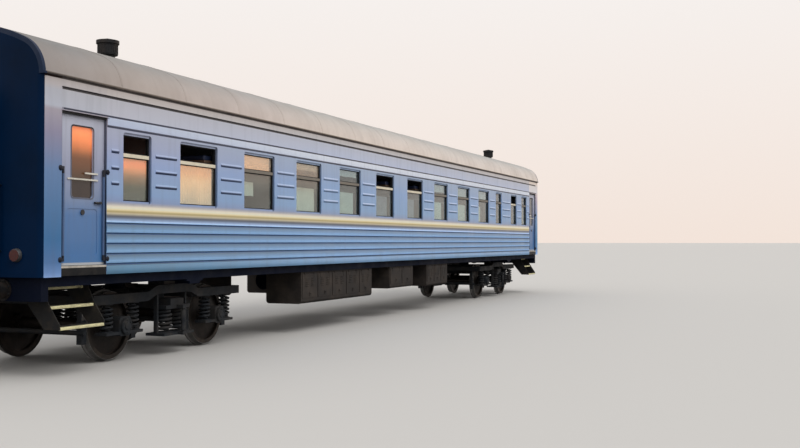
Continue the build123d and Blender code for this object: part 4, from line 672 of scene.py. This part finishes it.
axleSpring, bolsterSpring = springNest("axle"), springNest("bolster")
damperShape = damper(springs["bolsterLow"], springs["bolsterHigh"])
for end, name in bothEnds:
    bm = bmesh.new()
    for side in (-1, 1):
        y = side * journalY
        for axle in (-axleShift, axleShift):
            for shift in (-springs["axleShift"], springs["axleShift"]):
                addCopy(bm, axleSpring, (end * bogieX + axle + shift, y, 0))
        for shift in (-springs["bolsterShift"], springs["bolsterShift"]):
            addCopy(bm, bolsterSpring, (end * bogieX + shift, y, 0))
        addCopy(bm, damperShape, (end * bogieX, side * springs["damperY"], 0))
    piece = showPiece("springSet_" + name, bm, castMat, "bogie_" + name)
    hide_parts("bogie_springs_" + name)
print("springs and dampers made")


# berth cushions: one is blown up as cloth, the rest are copies of it

berths = {"across": 0.591, "length": 1.77, "width": 0.55, "thick": 0.09, "y": -0.515, "bench": 1.713,
          "bunk": 2.913, "crown": 0.016, "edge": 0.016, "cuts": (11, 36), "pressure": 4.0, "lastFrame": 20,
          "seams": (-0.30, 0.30), "seamDeep": 0.007, "seamHalf": 0.012}


def cushionBlank(low):  # cut finely enough to swell, with a line on each side of every seam
    size = (berths["width"] - 0.004, berths["length"] - 0.004, berths["thick"] - berths["crown"])
    bm = bmesh.new()
    spot = Matrix.Translation((0, 0, low + size[2] / 2)) @ Matrix.Diagonal((*size, 1))
    bmesh.ops.create_cube(bm, size=1, matrix=spot)
    soften(bm, bm.edges[:], berths["edge"], 3)
    cuts = [(axis, size[axis] * (i / count - 0.5))
            for axis, count in enumerate(berths["cuts"]) for i in range(1, count)]
    cuts += [(1, seam + shift * berths["seamHalf"]) for seam in berths["seams"] for shift in (-1, 0, 1)]
    for axis, at in cuts:
        spot, normal = [0, 0, 0], [0, 0, 0]
        spot[axis], normal[axis] = at, 1
        bmesh.ops.bisect_plane(bm, geom=bm.verts[:] + bm.edges[:] + bm.faces[:], plane_co=spot,
                               plane_no=normal)
    mesh = bpy.data.meshes.new("cushionShape")
    bm.to_mesh(mesh)
    bm.free()
    return mesh


def blowUp(mesh, start):
    shape = bpy.data.objects.new("cushionShape", mesh)
    scene.collection.objects.link(shape)
    cloth = shape.modifiers.new("blow", "CLOTH")
    cloth.settings.use_pressure = True
    cloth.settings.uniform_pressure_force = berths["pressure"]
    cloth.settings.effector_weights.gravity = 0
    for step in range(1, berths["lastFrame"] + 1):
        scene.frame_set(step)
    blown = shape.evaluated_get(bpy.context.evaluated_depsgraph_get()).to_mesh()
    moves = [after.co - before for before, after in zip(start, blown.vertices)]
    share = berths["crown"] / max(move.z for move in moves)  # a firm pad keeps only a share of the swelling
    for before, vert, move in zip(start, mesh.vertices, moves):
        vert.co = before + move * share
    scene.frame_set(1)
    bpy.data.objects.remove(shape)


def cushionShape():
    low = -berths["thick"] / 2
    mesh = cushionBlank(low)
    start = [v.co.copy() for v in mesh.vertices]
    blowUp(mesh, start)
    for before, vert in zip(start, mesh.vertices):
        if before.z > 0:  # sewn seams across the top
            deep = max(max(0, 1 - abs(before.y - seam) / berths["seamHalf"]) for seam in berths["seams"])
            vert.co.z -= deep * berths["seamDeep"]
        vert.co.z = min(max(vert.co.z, low + 0.0005), -low - 0.0005)  # flat where it lies on the berth
    return mesh


cushion = cushionShape()
bm = bmesh.new()
for i in range(bays["count"]):
    for side in (-1, 1):
        for level in (berths["bench"], berths["bunk"]):
            addCopy(bm, cushion, (bays["first"] + i * bays["pitch"] + side * berths["across"], berths["y"],
                                  level + berths["thick"] / 2))
cushions = showPiece("berthCushions", bm, cushionMat, sharp=60)
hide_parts("berth_cushions")
print("cushions made")


# curtains, gathered on their rods

curtainCloth = {"y": -1.4275, "depth": 0.010, "wave": 0.062, "perWave": 10, "down": 12, "sway": 0.006,
                "hem": 0.004}
curtainRows = [  # name, left edge, width, low, high, cloth
    ("curtain_2", -8.98, 0.94, 2.185, 2.790, warmCurtainMat),
    ("curtain_3", -7.18, 0.39, 2.420, 2.646, curtainMat),
    ("curtain_4", -5.45, 0.86, 2.180, 2.646, curtainMat),
    ("curtain_5", -3.62, 0.75, 2.180, 2.646, curtainMat),
    ("curtain_6", -1.78, 0.66, 2.180, 2.646, shadedCurtainMat),
    ("curtain_7", -0.12, 0.62, 2.180, 2.646, shadedCurtainMat),
    ("curtain_8", 1.66, 0.72, 2.180, 2.646, curtainMat),
    ("curtain_9", 3.42, 0.84, 2.180, 2.646, curtainMat),
    ("curtain_10", 5.20, 0.42, 2.180, 2.646, curtainMat),
    ("valance_3", -7.20, 0.93, 2.845, 3.080, warmCurtainMat),
    ("valance_4", -5.43, 0.93, 2.965, 3.080, curtainMat),
    ("valance_5", -3.66, 0.93, 2.960, 3.080, curtainMat),
    ("valance_8", 1.66, 0.93, 2.900, 3.080, curtainMat),
    ("valance_9", 3.43, 0.93, 2.860, 3.080, curtainMat),
    ("valance_10", 5.20, 0.93, 2.860, 3.080, curtainMat),
]


def curtainPiece(name, left, width, low, high, mat):
    waves, down = max(3, round(width / curtainCloth["wave"])), curtainCloth["down"]
    bm = bmesh.new()
    bmesh.ops.create_grid(bm, x_segments=waves * curtainCloth["perWave"], y_segments=down, size=0.5)
    for vert in bm.verts:
        u, v = vert.co.x + 0.5, vert.co.y + 0.5
        drift = 0.35 * sin(3 * u * pi + 0.8) + 0.25 * sin(7.3 * u + 2.1 * v)
        depth = curtainCloth["depth"] * (0.75 + 0.25 * (1 - v)) * (0.8 + 0.2 * sin(11 * u))
        vert.co = (left + u * width + curtainCloth["sway"] * sin(2 * pi * waves * u + 1) * (1 - v),
                   curtainCloth["y"] + depth * sin(2 * pi * waves * u + drift),
                   low + v * (high - low) + curtainCloth["hem"] * sin(9 * u + 1) * (1 - v))
    piece = showPiece(name, bm, mat, sharp=180)
    return piece


for row in curtainRows:
    hung = curtainPiece(*row)
    if row[0] == "curtain_4":
        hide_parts("curtains")
print("curtains hung:", len(curtainRows))


# small shapes that the next pieces are put together from

def block(bm, low, high, edge=0.003, segments=1):  # between any two opposite corners
    low, high = Vector(low), Vector(high)
    made = bmesh.ops.create_cube(bm, size=1, matrix=Matrix.Translation((low + high) / 2)
                                 @ Matrix.Diagonal((*[abs(v) for v in high - low], 1)))
    soften(bm, edgesAt(made["verts"]), edge, segments)


def rod(bm, start, end, radius, sides=10, edge=0.002):
    start, end = Vector(start), Vector(end)
    turn = (end - start).to_track_quat("Z", "Y").to_matrix().to_4x4()
    spot = Matrix.Translation((start + end) / 2) @ turn
    made = bmesh.ops.create_cone(bm, cap_ends=True, segments=sides, radius1=radius, radius2=radius,
                                 depth=(end - start).length, matrix=spot)
    rims = [e for e in edgesAt(made["verts"]) if any(len(f.verts) > 4 for f in e.link_faces)]
    soften(bm, rims, edge)


def bolt(bm, foot, way, radius, high, sunk=0.0):  # a six-sided head standing on foot
    foot, way = Vector(foot), Vector(way)
    rod(bm, foot - way * sunk, foot + way * high, radius, 6, 0.0015)


def frameRing(bm, middle, size, width, thick, out, corner=0.0):  # flat in the XZ plane, standing out along y
    turned = Matrix.Rotation(pi / 2, 4, "X") @ Matrix.Diagonal((*size, 1, 1))
    face = bmesh.ops.create_grid(bm, x_segments=1, y_segments=1, size=0.5,
                                 matrix=Matrix.Translation(middle) @ turned)["verts"][0].link_faces[0]
    if corner:
        rounded = soften(bm, face.verts[:], corner, 4, "VERTICES")["verts"]
        face = max({f for v in rounded for f in v.link_faces}, key=lambda f: f.calc_area())
    ring = bmesh.ops.inset_region(bm, faces=[face], thickness=width, use_boundary=True,
                                  use_even_offset=True)["faces"]
    bmesh.ops.delete(bm, geom=[face], context="FACES")
    lifted = bmesh.ops.extrude_face_region(bm, geom=ring, use_keep_orig=True)["geom"]
    bmesh.ops.translate(bm, verts=[g for g in lifted if isinstance(g, bmesh.types.BMVert)],
                        vec=(0, out * thick, 0))


# window seals, sash catches and frosted panes

bayWindows = [(bays["first"] + i * bays["pitch"], bays["wide"]) for i in range(bays["count"])]
windows = {"low": 2.210, "high": 3.083, "barLow": 2.794, "barHigh": 2.842, "frame": 0.032, "paneY": 1.480,
           "seal": 0.014, "proud": 0.007, "catchAt": 0.3, "catchHalf": 0.022, "catchY": (1.4925, 1.5045),
           "compartment": [(-9.99, 0.62), *bayWindows, (7.15, 0.62), (8.775, 0.65), (9.99, 0.62)],
           "corridor": [(-9.99, 0.62), *bayWindows, (7.9, 0.99), (9.7, 0.62)]}
seals, catches = bmesh.new(), bmesh.new()
for side, rows in ((-1, windows["compartment"]), (1, windows["corridor"])):
    for middle, width in rows:
        clear = width - 2 * windows["frame"]
        for low, high in ((windows["low"], windows["barLow"]), (windows["barHigh"], windows["high"])):
            frameRing(seals, (middle, side * windows["paneY"], (low + high) / 2), (clear, high - low),
                      windows["seal"], windows["proud"], side)
        for shift in (-windows["catchAt"], windows["catchAt"]):
            at, (inner, outer) = middle + shift * clear, windows["catchY"]
            block(catches, (at - windows["catchHalf"], side * inner, windows["barLow"] + 0.014),
                  (at + windows["catchHalf"], side * outer, windows["barHigh"] - 0.012))
showPiece("windowSeals", seals, sealMat)
showPiece("sashCatches", catches, steelMat)

frosted = {"places": [(-1, -9.99, 0.62), (-1, 9.99, 0.62), (1, -9.99, 0.62), (1, 9.7, 0.62)], "y": 1.456,
           "thick": 0.005, "overlap": 0.012}
bm = bmesh.new()
for side, middle, width in frosted["places"]:
    half = (width - 2 * windows["frame"]) / 2 - windows["seal"] + frosted["overlap"]
    block(bm, (middle - half, side * frosted["y"], windows["low"] + 0.002),
          (middle + half, side * (frosted["y"] + frosted["thick"]), windows["barLow"] - 0.002), 0.001)
showPiece("frostedPanes", bm, frostMat)


# door seals on the posts, and a rubber ring round each door pane

doors = {"postFar": 11.47, "postNear": 10.63, "low": 1.38, "high": 3.263, "inner": 1.497, "outer": 1.524,
         "thick": 0.010, "head": 0.028, "paneX": 11.05, "paneLow": 2.221, "paneHigh": 3.102, "paneWide": 0.40,
         "face": 1.490, "ring": 0.018, "ringThick": 0.004, "corner": 0.05}
posts = bmesh.new()
for end, name in bothEnds:
    for side, sideName, short in ((-1, "_compartment", "_c"), (1, "_corridor", "_k")):
        near, far = end * doors["postNear"], end * doors["postFar"]
        for at, way in ((near, end), (far, -end)):
            block(posts, (at, side * doors["inner"], doors["low"]),
                  (at + way * doors["thick"], side * doors["outer"], doors["high"]), 0.001)
        block(posts, (near, side * doors["inner"], doors["high"] - doors["head"]),
              (far, side * doors["outer"], doors["high"]), 0.001)
        ring = bmesh.new()
        low, high, rim = doors["paneLow"], doors["paneHigh"], doors["ring"]
        frameRing(ring, (end * doors["paneX"], side * doors["face"], (low + high) / 2),
                  (doors["paneWide"] + 2 * rim, high - low + 2 * rim), rim, doors["ringThick"], side,
                  doors["corner"])
        showPiece("doorPaneSeal_" + name + short, ring, doorSealMat, "door_" + name + sideName)
showPiece("doorPostSeals", posts, postMat)
print("window and door seals made")


# round caps on the handrails' brackets, with a screw each side

caps = {"near": 10.612, "far": 11.492, "face": 1.5295, "heights": (1.452, 2.565), "radius": 0.034,
        "proud": 0.016, "screwR": 0.005, "screwHigh": 0.004}
capMat = finish("capPaint", worn("0C1222", "2A3040", 0.4, 12.0), roughly(0.4, 0.6, 9.0), grains(50.0), 0.0008,
                0.4, Specular_IOR_Level=0.3)
bm = bmesh.new()
for end, side in corners:
    for at in (caps["near"], caps["far"]):
        for height in caps["heights"]:
            spot, r = Vector((end * at, side * caps["face"], height)), caps["radius"]
            lathe(bm, [(r, 0), (r, 0.004), (r - 0.006, 0.011), (r * 0.5, caps["proud"] - 0.001),
                       (0, caps["proud"])], spot, (0, side, 0), 20)
            for shift in (-0.5, 0.5):
                foot = spot + Vector((0, side * (caps["proud"] - 0.006), shift * r * 1.1))
                rod(bm, foot, foot + Vector((0, side * caps["screwHigh"], 0)), caps["screwR"], 8, 0.001)
showPiece("railCaps", bm, capMat)


# entry steps: a worn nosing on each tread

steps = {"heights": (0.628, 0.878, 1.108), "front": 1.510, "riseIn": 0.170, "low": 10.645, "high": 11.455,
         "noseHigh": 0.034, "noseDeep": 0.040, "proud": 0.003}
noseMat = finish("stepNosePaint", worn("F0E7B4", "6E6450", 0.7, 9.0, (1, 4, 4)), roughly(0.5, 0.75, 9.0),
                 grains(60.0), 0.001, 0.5)
nosings = bmesh.new()
for end, side in corners:
    for i, height in enumerate(steps["heights"]):
        front = steps["front"] - i * steps["riseIn"] + steps["proud"]
        block(nosings, (end * steps["low"], side * (front - steps["noseDeep"]), height - steps["noseHigh"]),
              (end * steps["high"], side * front, height + steps["proud"]), 0.004, 2)
showPiece("stepNosings", nosings, noseMat)


tread = {"first": 0.052, "pitch": 0.024, "count": 5, "wide": 0.008, "high": 0.003, "inset": 0.02}
ribs = bmesh.new()
for end, side in corners:
    for i, height in enumerate(steps["heights"]):
        for j in range(tread["count"]):
            y = side * (steps["front"] - i * steps["riseIn"] - tread["first"] - j * tread["pitch"])
            block(ribs, (end * (steps["low"] + tread["inset"]), y - tread["wide"] / 2, height - 0.001),
                  (end * (steps["high"] - tread["inset"]), y + tread["wide"] / 2, height + tread["high"]),
                  0.001)
showPiece("treadRibs", ribs, stepMat)
print("steps dressed")


# gangway: a bolted flange round each portal, and bands where the rubber roll is joined

gangway = {"inner": 0.682, "outer": 0.735, "low": 1.30, "high": 3.655, "thick": 0.008, "boltPitch": 0.155,
           "boltR": 0.011, "boltHigh": 0.009, "rollX": 12.0206, "rollY": 0.575, "rollZ": 3.548,
           "rollDeep": 0.364, "rollWide": 0.214, "bandHigh": 0.035, "bands": (1.42, 1.98, 2.54, 3.10)}
inner, outer, low, high = gangway["inner"], gangway["outer"], gangway["low"], gangway["high"]
pitch = gangway["boltPitch"]
flanges = bmesh.new()
for end in (-1, 1):
    near, face = end * (bodyEnd - 0.001), end * (bodyEnd + gangway["thick"])
    for side in (-1, 1):
        block(flanges, (near, side * inner, low), (face, side * outer, high + outer - inner), 0.002)
        for i in range(int((high - low) / pitch) + 1):
            bolt(flanges, (face, side * (inner + outer) / 2, low + 0.05 + i * pitch), (end, 0, 0),
                 gangway["boltR"], gangway["boltHigh"])
    block(flanges, (near, -inner, high), (face, inner, high + outer - inner), 0.002)
    for i in range(-4, 5):
        bolt(flanges, (face, i * pitch, high + (outer - inner) / 2), (end, 0, 0), gangway["boltR"],
             gangway["boltHigh"])
showPiece("portalFlanges", flanges, endMat)

slab = bmesh.new()
bmesh.ops.create_cube(slab, size=1, matrix=Matrix.Diagonal((gangway["rollDeep"], gangway["rollWide"],
                                                            gangway["bandHigh"], 1)))
upright = [e for e in slab.edges if abs(e.verts[0].co.z - e.verts[1].co.z) > 0.01]
soften(slab, upright, gangway["rollWide"] / 2 - 0.0005, 9)
rims = [e for e in slab.edges if abs(e.verts[0].co.z - e.verts[1].co.z) < 0.001 and e.calc_face_angle(0) > 1]
soften(slab, rims, 0.0018, 2)
band = template(slab)
rollBands = bmesh.new()
for end in (-1, 1):
    for side in (-1, 1):
        for height in gangway["bands"]:
            addCopy(rollBands, band, (end * gangway["rollX"], side * gangway["rollY"], height))
    addCopy(rollBands, band, (end * gangway["rollX"], 0, gangway["rollZ"]), Matrix.Rotation(pi / 2, 4, "X"))
showPiece("rollBands", rollBands, rubberMat)


# gangway doors: a rubber ring round the pane, a kick plate and a lever

endTrim = {"face": 11.740, "paneLow": 2.378, "paneHigh": 3.078, "paneWide": 0.40, "ring": 0.028,
           "ringThick": 0.005, "corner": 0.04, "plateLow": 1.41, "plateHigh": 1.63, "plateHalf": 0.36,
           "boltYs": (-0.34, -0.17, 0, 0.17, 0.34), "boltIn": 0.02, "leverY": -0.33, "leverZ": 2.28,
           "leverOut": 0.036, "leverLong": 0.12}
for end, name in bothEnds:
    ring = bmesh.new()
    low, high, rim = endTrim["paneLow"], endTrim["paneHigh"], endTrim["ring"]
    frameRing(ring, (0, 0, (low + high) / 2), (endTrim["paneWide"] + 2 * rim, high - low + 2 * rim), rim,
              endTrim["ringThick"], 1, endTrim["corner"])
    bmesh.ops.rotate(ring, verts=ring.verts, cent=(0, 0, 0), matrix=Matrix.Rotation(-end * pi / 2, 3, "Z"))
    bmesh.ops.translate(ring, verts=ring.verts, vec=(end * endTrim["face"], 0, 0))
    showPiece("endPaneSeal_" + name, ring, sealMat, "end_door_" + name)
    trim = bmesh.new()
    face = end * endTrim["face"]
    block(trim, (face - end * 0.0005, -endTrim["plateHalf"], endTrim["plateLow"]),
          (face + end * 0.002, endTrim["plateHalf"], endTrim["plateHigh"]), 0.0008)
    for y in endTrim["boltYs"]:
        for z in (endTrim["plateLow"] + endTrim["boltIn"], endTrim["plateHigh"] - endTrim["boltIn"]):
            rod(trim, (face, y, z), (face + end * 0.004, y, z), 0.006, 8, 0.001)
    y, z, out = endTrim["leverY"], endTrim["leverZ"], face + end * endTrim["leverOut"]
    lathe(trim, [(0, -0.001), (0.028, -0.001), (0.028, 0.006), (0.024, 0.010), (0, 0.011)], (face, y, z),
          (end, 0, 0), 20)
    rod(trim, (face, y, z), (face + end * 0.042, y, z), 0.009, 12)
    rod(trim, (out, y - 0.012, z), (out, y + endTrim["leverLong"], z), 0.008, 12)
    showPiece("endDoorTrim_" + name, trim, steelMat, "end_door_" + name)


# roof ventilators: upright slats between two bands on each drum

drums = {"places": (-8.70, 11.10), "low": 4.530, "high": 4.680, "radius": 0.150, "proud": 0.005, "count": 24,
         "slatHalf": 0.006, "bandHigh": 0.016}
slat = bmesh.new()
block(slat, (drums["radius"] - 0.002, -drums["slatHalf"], drums["low"] + 0.018),
      (drums["radius"] + drums["proud"], drums["slatHalf"], drums["high"] - 0.018), 0.002)
slat = template(slat)
bm = bmesh.new()
for at in drums["places"]:
    for i in range(drums["count"]):
        addCopy(bm, slat, (at, 0, 0), Matrix.Rotation(2 * pi * i / drums["count"], 4, "Z"))
    for z in (drums["low"], drums["high"] - drums["bandHigh"]):
        r = drums["radius"]
        lathe(bm, [(r - 0.001, z), (r + 0.004, z + 0.002), (r + 0.006, z + 0.008), (r + 0.004, z + 0.014),
                   (r - 0.001, z + drums["bandHigh"])], (at, 0, 0), (0, 0, 1), 36)
showPiece("ventSlats", bm, ventMat)
print("gangways and ventilators dressed")


# axlebox covers with their bolts, and bolts on the buffers

covers = {"face": 1.153, "ringR": 0.104, "bolts": 6, "boltCircle": 0.086, "boltR": 0.011, "boltHigh": 0.009}
for end, name in bothEnds:
    bm = bmesh.new()
    for axle in (-axleShift, axleShift):
        for side in (-1, 1):
            spot = Vector((end * bogieX + axle, side * covers["face"], wheels["height"]))
            ring = covers["ringR"]
            lathe(bm, [(0, 0), (0.05, 0), (0.052, 0.006), (0.046, 0.012), (0, 0.014)], spot, (0, side, 0), 20)
            lathe(bm, [(ring - 0.012, -0.001), (ring - 0.011, 0.004), (ring - 0.002, 0.004), (ring, -0.001)],
                  spot, (0, side, 0), 28)
            for i in range(covers["bolts"]):
                angle = 2 * pi * (i + 0.5) / covers["bolts"]
                bolt(bm, spot + Vector((cos(angle), 0, sin(angle))) * covers["boltCircle"], (0, side, 0),
                     covers["boltR"], covers["boltHigh"], 0.001)
    showPiece("axleCovers_" + name, bm, castMat, "bogie_" + name)

bm = bmesh.new()
for end, side in corners:
    for i in range(buffers["bolts"]):
        angle = 2 * pi * (i + 0.5) / buffers["bolts"]
        foot = (end * buffers["boltX"], side * buffers["y"] + buffers["boltCircle"] * cos(angle),
                buffers["z"] + buffers["boltCircle"] * sin(angle))
        bolt(bm, foot, (end, 0, 0), buffers["boltR"], buffers["boltHigh"], 0.002)
showPiece("bufferBolts", bm, castMat)


# rims of the tail lamps

lamps = {"radius": 0.070, "places": [(1.15, 1.508), (-1.15, 1.508), (1.15, 3.508)]}
rims = bmesh.new()
for end in (-1, 1):
    for y, z in lamps["places"]:
        r = lamps["radius"]
        lathe(rims, [(r + 0.001, 0), (r + 0.014, 0.001), (r + 0.012, 0.016), (r + 0.006, 0.036),
                     (r + 0.004, 0.044), (r + 0.0005, 0.045)], (end * bodyEnd, y, z), (end, 0, 0), 28)
showPiece("lampRims", rims, steelMat)


# fittings of the boxes under the floor: hinges, catches and louvres

boxRows = [  # middle, length, side, drop, lids
    (-3.465, 3.170, -1, 0.580, 5), (-0.200, 1.400, -1, 0.480, 2), (2.150, 1.500, -1, 0.520, 3),
    (-4.650, 1.500, 1, 0.520, 3), (-1.200, 2.000, 1, 0.560, 4), (2.600, 1.600, 1, 0.450, 2),
]
boxFit = {"top": 1.123, "corner": 0.06, "margin": 0.04, "face": 1.420, "sunk": 0.001,
          "hingeAt": 0.32, "hingeLong": 0.07, "hingeR": 0.011, "leafHalf": 0.02, "leafHigh": 0.07,
          "plateHalf": 0.03, "plateLow": 0.03, "plateHigh": 0.11, "latchZ": 0.085, "latchOut": 0.020,
          "latchHalf": 0.035, "louvres": 5, "louvreAt": 0.2, "louvreFirst": 0.085, "louvrePitch": 0.034,
          "louvreHalf": 0.065, "louvreHalfHigh": 0.008, "louvreOut": 0.010, "louvredLids": (5, 3)}


def onLid(bm, face, side, x, half, low, high, out, edge):  # a flat fitting on the box's face
    block(bm, (x - half, face - side * boxFit["sunk"], low), (x + half, face + side * out, high), edge)


bm = bmesh.new()
for middle, length, side, drop, lids in boxRows:
    lidWide = (length - (lids + 1) * boxFit["margin"]) / lids
    lidHigh = drop - boxFit["corner"] - 2 * boxFit["margin"]
    lidTop = boxFit["top"] - (drop - boxFit["corner"]) / 2 + lidHigh / 2
    face, low = side * boxFit["face"], lidTop - lidHigh
    for i in range(lids):
        at = middle + (i - (lids - 1) / 2) * (lidWide + boxFit["margin"])
        for shift in (-boxFit["hingeAt"], boxFit["hingeAt"]):
            x, half = at + shift * lidWide, boxFit["hingeLong"] / 2
            rod(bm, (x - half, face, lidTop + 0.004), (x + half, face, lidTop + 0.004), boxFit["hingeR"])
            onLid(bm, face, side, x, boxFit["leafHalf"], lidTop - boxFit["leafHigh"], lidTop, 0.004, 0.002)
        onLid(bm, face, side, at, boxFit["plateHalf"], low + boxFit["plateLow"], low + boxFit["plateHigh"],
              0.006, 0.002)
        z, out, half = low + boxFit["latchZ"], face + side * boxFit["latchOut"], boxFit["latchHalf"]
        rod(bm, (at, face, z), (at, face + side * 0.022, z), 0.008, 8)
        rod(bm, (at - half, out, z), (at + half, out, z), 0.007, 8)
        for j in range(boxFit["louvres"] if lids in boxFit["louvredLids"] else 0):
            z, half = lidTop - boxFit["louvreFirst"] - j * boxFit["louvrePitch"], boxFit["louvreHalfHigh"]
            for shift in (-boxFit["louvreAt"], boxFit["louvreAt"]):
                onLid(bm, face, side, at + shift * lidWide, boxFit["louvreHalf"], z - half, z + half,
                      boxFit["louvreOut"], 0.006)
showPiece("boxFittings", bm, boxMat)
print("axle covers, buffers, lamps and boxes dressed")


# raised seams on the roof, taken as narrow slices of it

seams = {"count": 15, "width": 0.036, "proud": 0.003, "middleZ": 3.2, "lowest": 3.71}


def outward(face):  # how far the face looks away from the middle of the body
    middle = face.calc_center_median()
    return face.normal.dot(middle - Vector((middle.x, 0, seams["middleZ"])))


roofShell = bmesh.new()
roofShell.from_mesh(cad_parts["roof"].data)
bmesh.ops.remove_doubles(roofShell, verts=roofShell.verts, dist=0.0001)
roofSheet = {f for f in roofShell.faces if outward(f) > 0.2 and abs(f.normal.x) < 0.1
             and f.calc_center_median().z > seams["lowest"]}
bmesh.ops.delete(roofShell, geom=[f for f in roofShell.faces if f not in roofSheet], context="FACES")
straps = bmesh.new()
for i in range(1, seams["count"] + 1):
    cut = roofShell.copy()
    for way in (-1, 1):
        x = -bodyEnd + i * seamPitch + way * seams["width"] / 2
        bmesh.ops.bisect_plane(cut, geom=cut.verts[:] + cut.edges[:] + cut.faces[:], clear_outer=True,
                               plane_co=(x, 0, 0), plane_no=(way, 0, 0))
    strap = bpy.data.meshes.new("strap")
    cut.to_mesh(strap)
    cut.free()
    straps.from_mesh(strap)
    bpy.data.meshes.remove(strap)
roofShell.free()
bmesh.ops.remove_doubles(straps, verts=straps.verts, dist=0.0001)
bmesh.ops.recalc_face_normals(straps, faces=straps.faces)
bmesh.ops.dissolve_limit(straps, angle_limit=radians(0.5), verts=straps.verts, edges=straps.edges)
for face in straps.faces:
    if outward(face) < 0:
        face.normal_flip()
bmesh.ops.solidify(straps, geom=straps.faces[:], thickness=-seams["proud"])
showPiece("roofSeams", straps, roofMat)
print("roof seams made")


# camera, light and floor

studio = {"lens": 44.83, "at": (-21.084, -9.842, 1.668), "heading": 22.074, "pitch": 1.028,
          "sensor": 36, "farthest": 4000, "skyLight": 0.80, "sunLight": 1.1, "sunWidth": 35,
          "sunWay": (0.35, 0.75, -0.95), "sky": "F6F1EE", "horizon": "F3E4DA", "skyFrom": 0.25,
          "floor": "C9C6C2", "floorBounce": "6A6866", "floorHalf": 1500}

camera = bpy.data.objects.new("camera", bpy.data.cameras.new("camera"))
camera.data.lens = studio["lens"]
camera.data.sensor_width = studio["sensor"]
camera.data.clip_end = studio["farthest"]
camera.location = studio["at"]
camera.rotation_euler = (radians(90 + studio["pitch"]), 0, radians(studio["heading"] - 90))
scene.collection.objects.link(camera)
scene.camera = camera

sun = bpy.data.objects.new("softSun", bpy.data.lights.new("softSun", "SUN"))
sun.data.energy = studio["sunLight"]
sun.data.angle = radians(studio["sunWidth"])
sun.rotation_euler = Vector(studio["sunWay"]).to_track_quat("-Z", "Y").to_euler()
scene.collection.objects.link(sun)

world = bpy.data.worlds.new("studio")
scene.world = world
world.use_nodes = True
tree = world.node_tree
tree.nodes.clear()
path = node(tree, "LightPath")
shown = sums(tree, "MAXIMUM", path.outputs["Is Camera Ray"],
             sums(tree, "MAXIMUM", path.outputs["Is Glossy Ray"], path.outputs["Is Transmission Ray"]))
rise = node(tree, "SeparateXYZ", {0: node(tree, "TexCoord").outputs["Generated"]}).outputs[2]
sky = mixed(tree, span(tree, rise, 0.0, studio["skyFrom"]), studio["horizon"], studio["sky"])
backdrop = node(tree, "Background", {"Color": sky})
lightSky = node(tree, "Background", {"Color": "FFFFFF", "Strength": studio["skyLight"]})
both = node(tree, "MixShader", {0: shown, 1: lightSky.outputs[0], 2: backdrop.outputs[0]})
tree.links.new(both.outputs[0], node(tree, "OutputWorld").inputs[0])

floorMesh = bmesh.new()
bmesh.ops.create_grid(floorMesh, x_segments=1, y_segments=1, size=studio["floorHalf"])
floorData = bpy.data.meshes.new("studioFloor")
floorMesh.to_mesh(floorData)
floorMesh.free()
floor = bpy.data.objects.new("studioFloor", floorData)
scene.collection.objects.link(floor)


def floorColour(tree):
    seen = node(tree, "LightPath").outputs["Is Camera Ray"]
    return mixed(tree, seen, studio["floorBounce"], studio["floor"])


floorData.materials.append(finish("studioFloor", floorColour, 0.9))
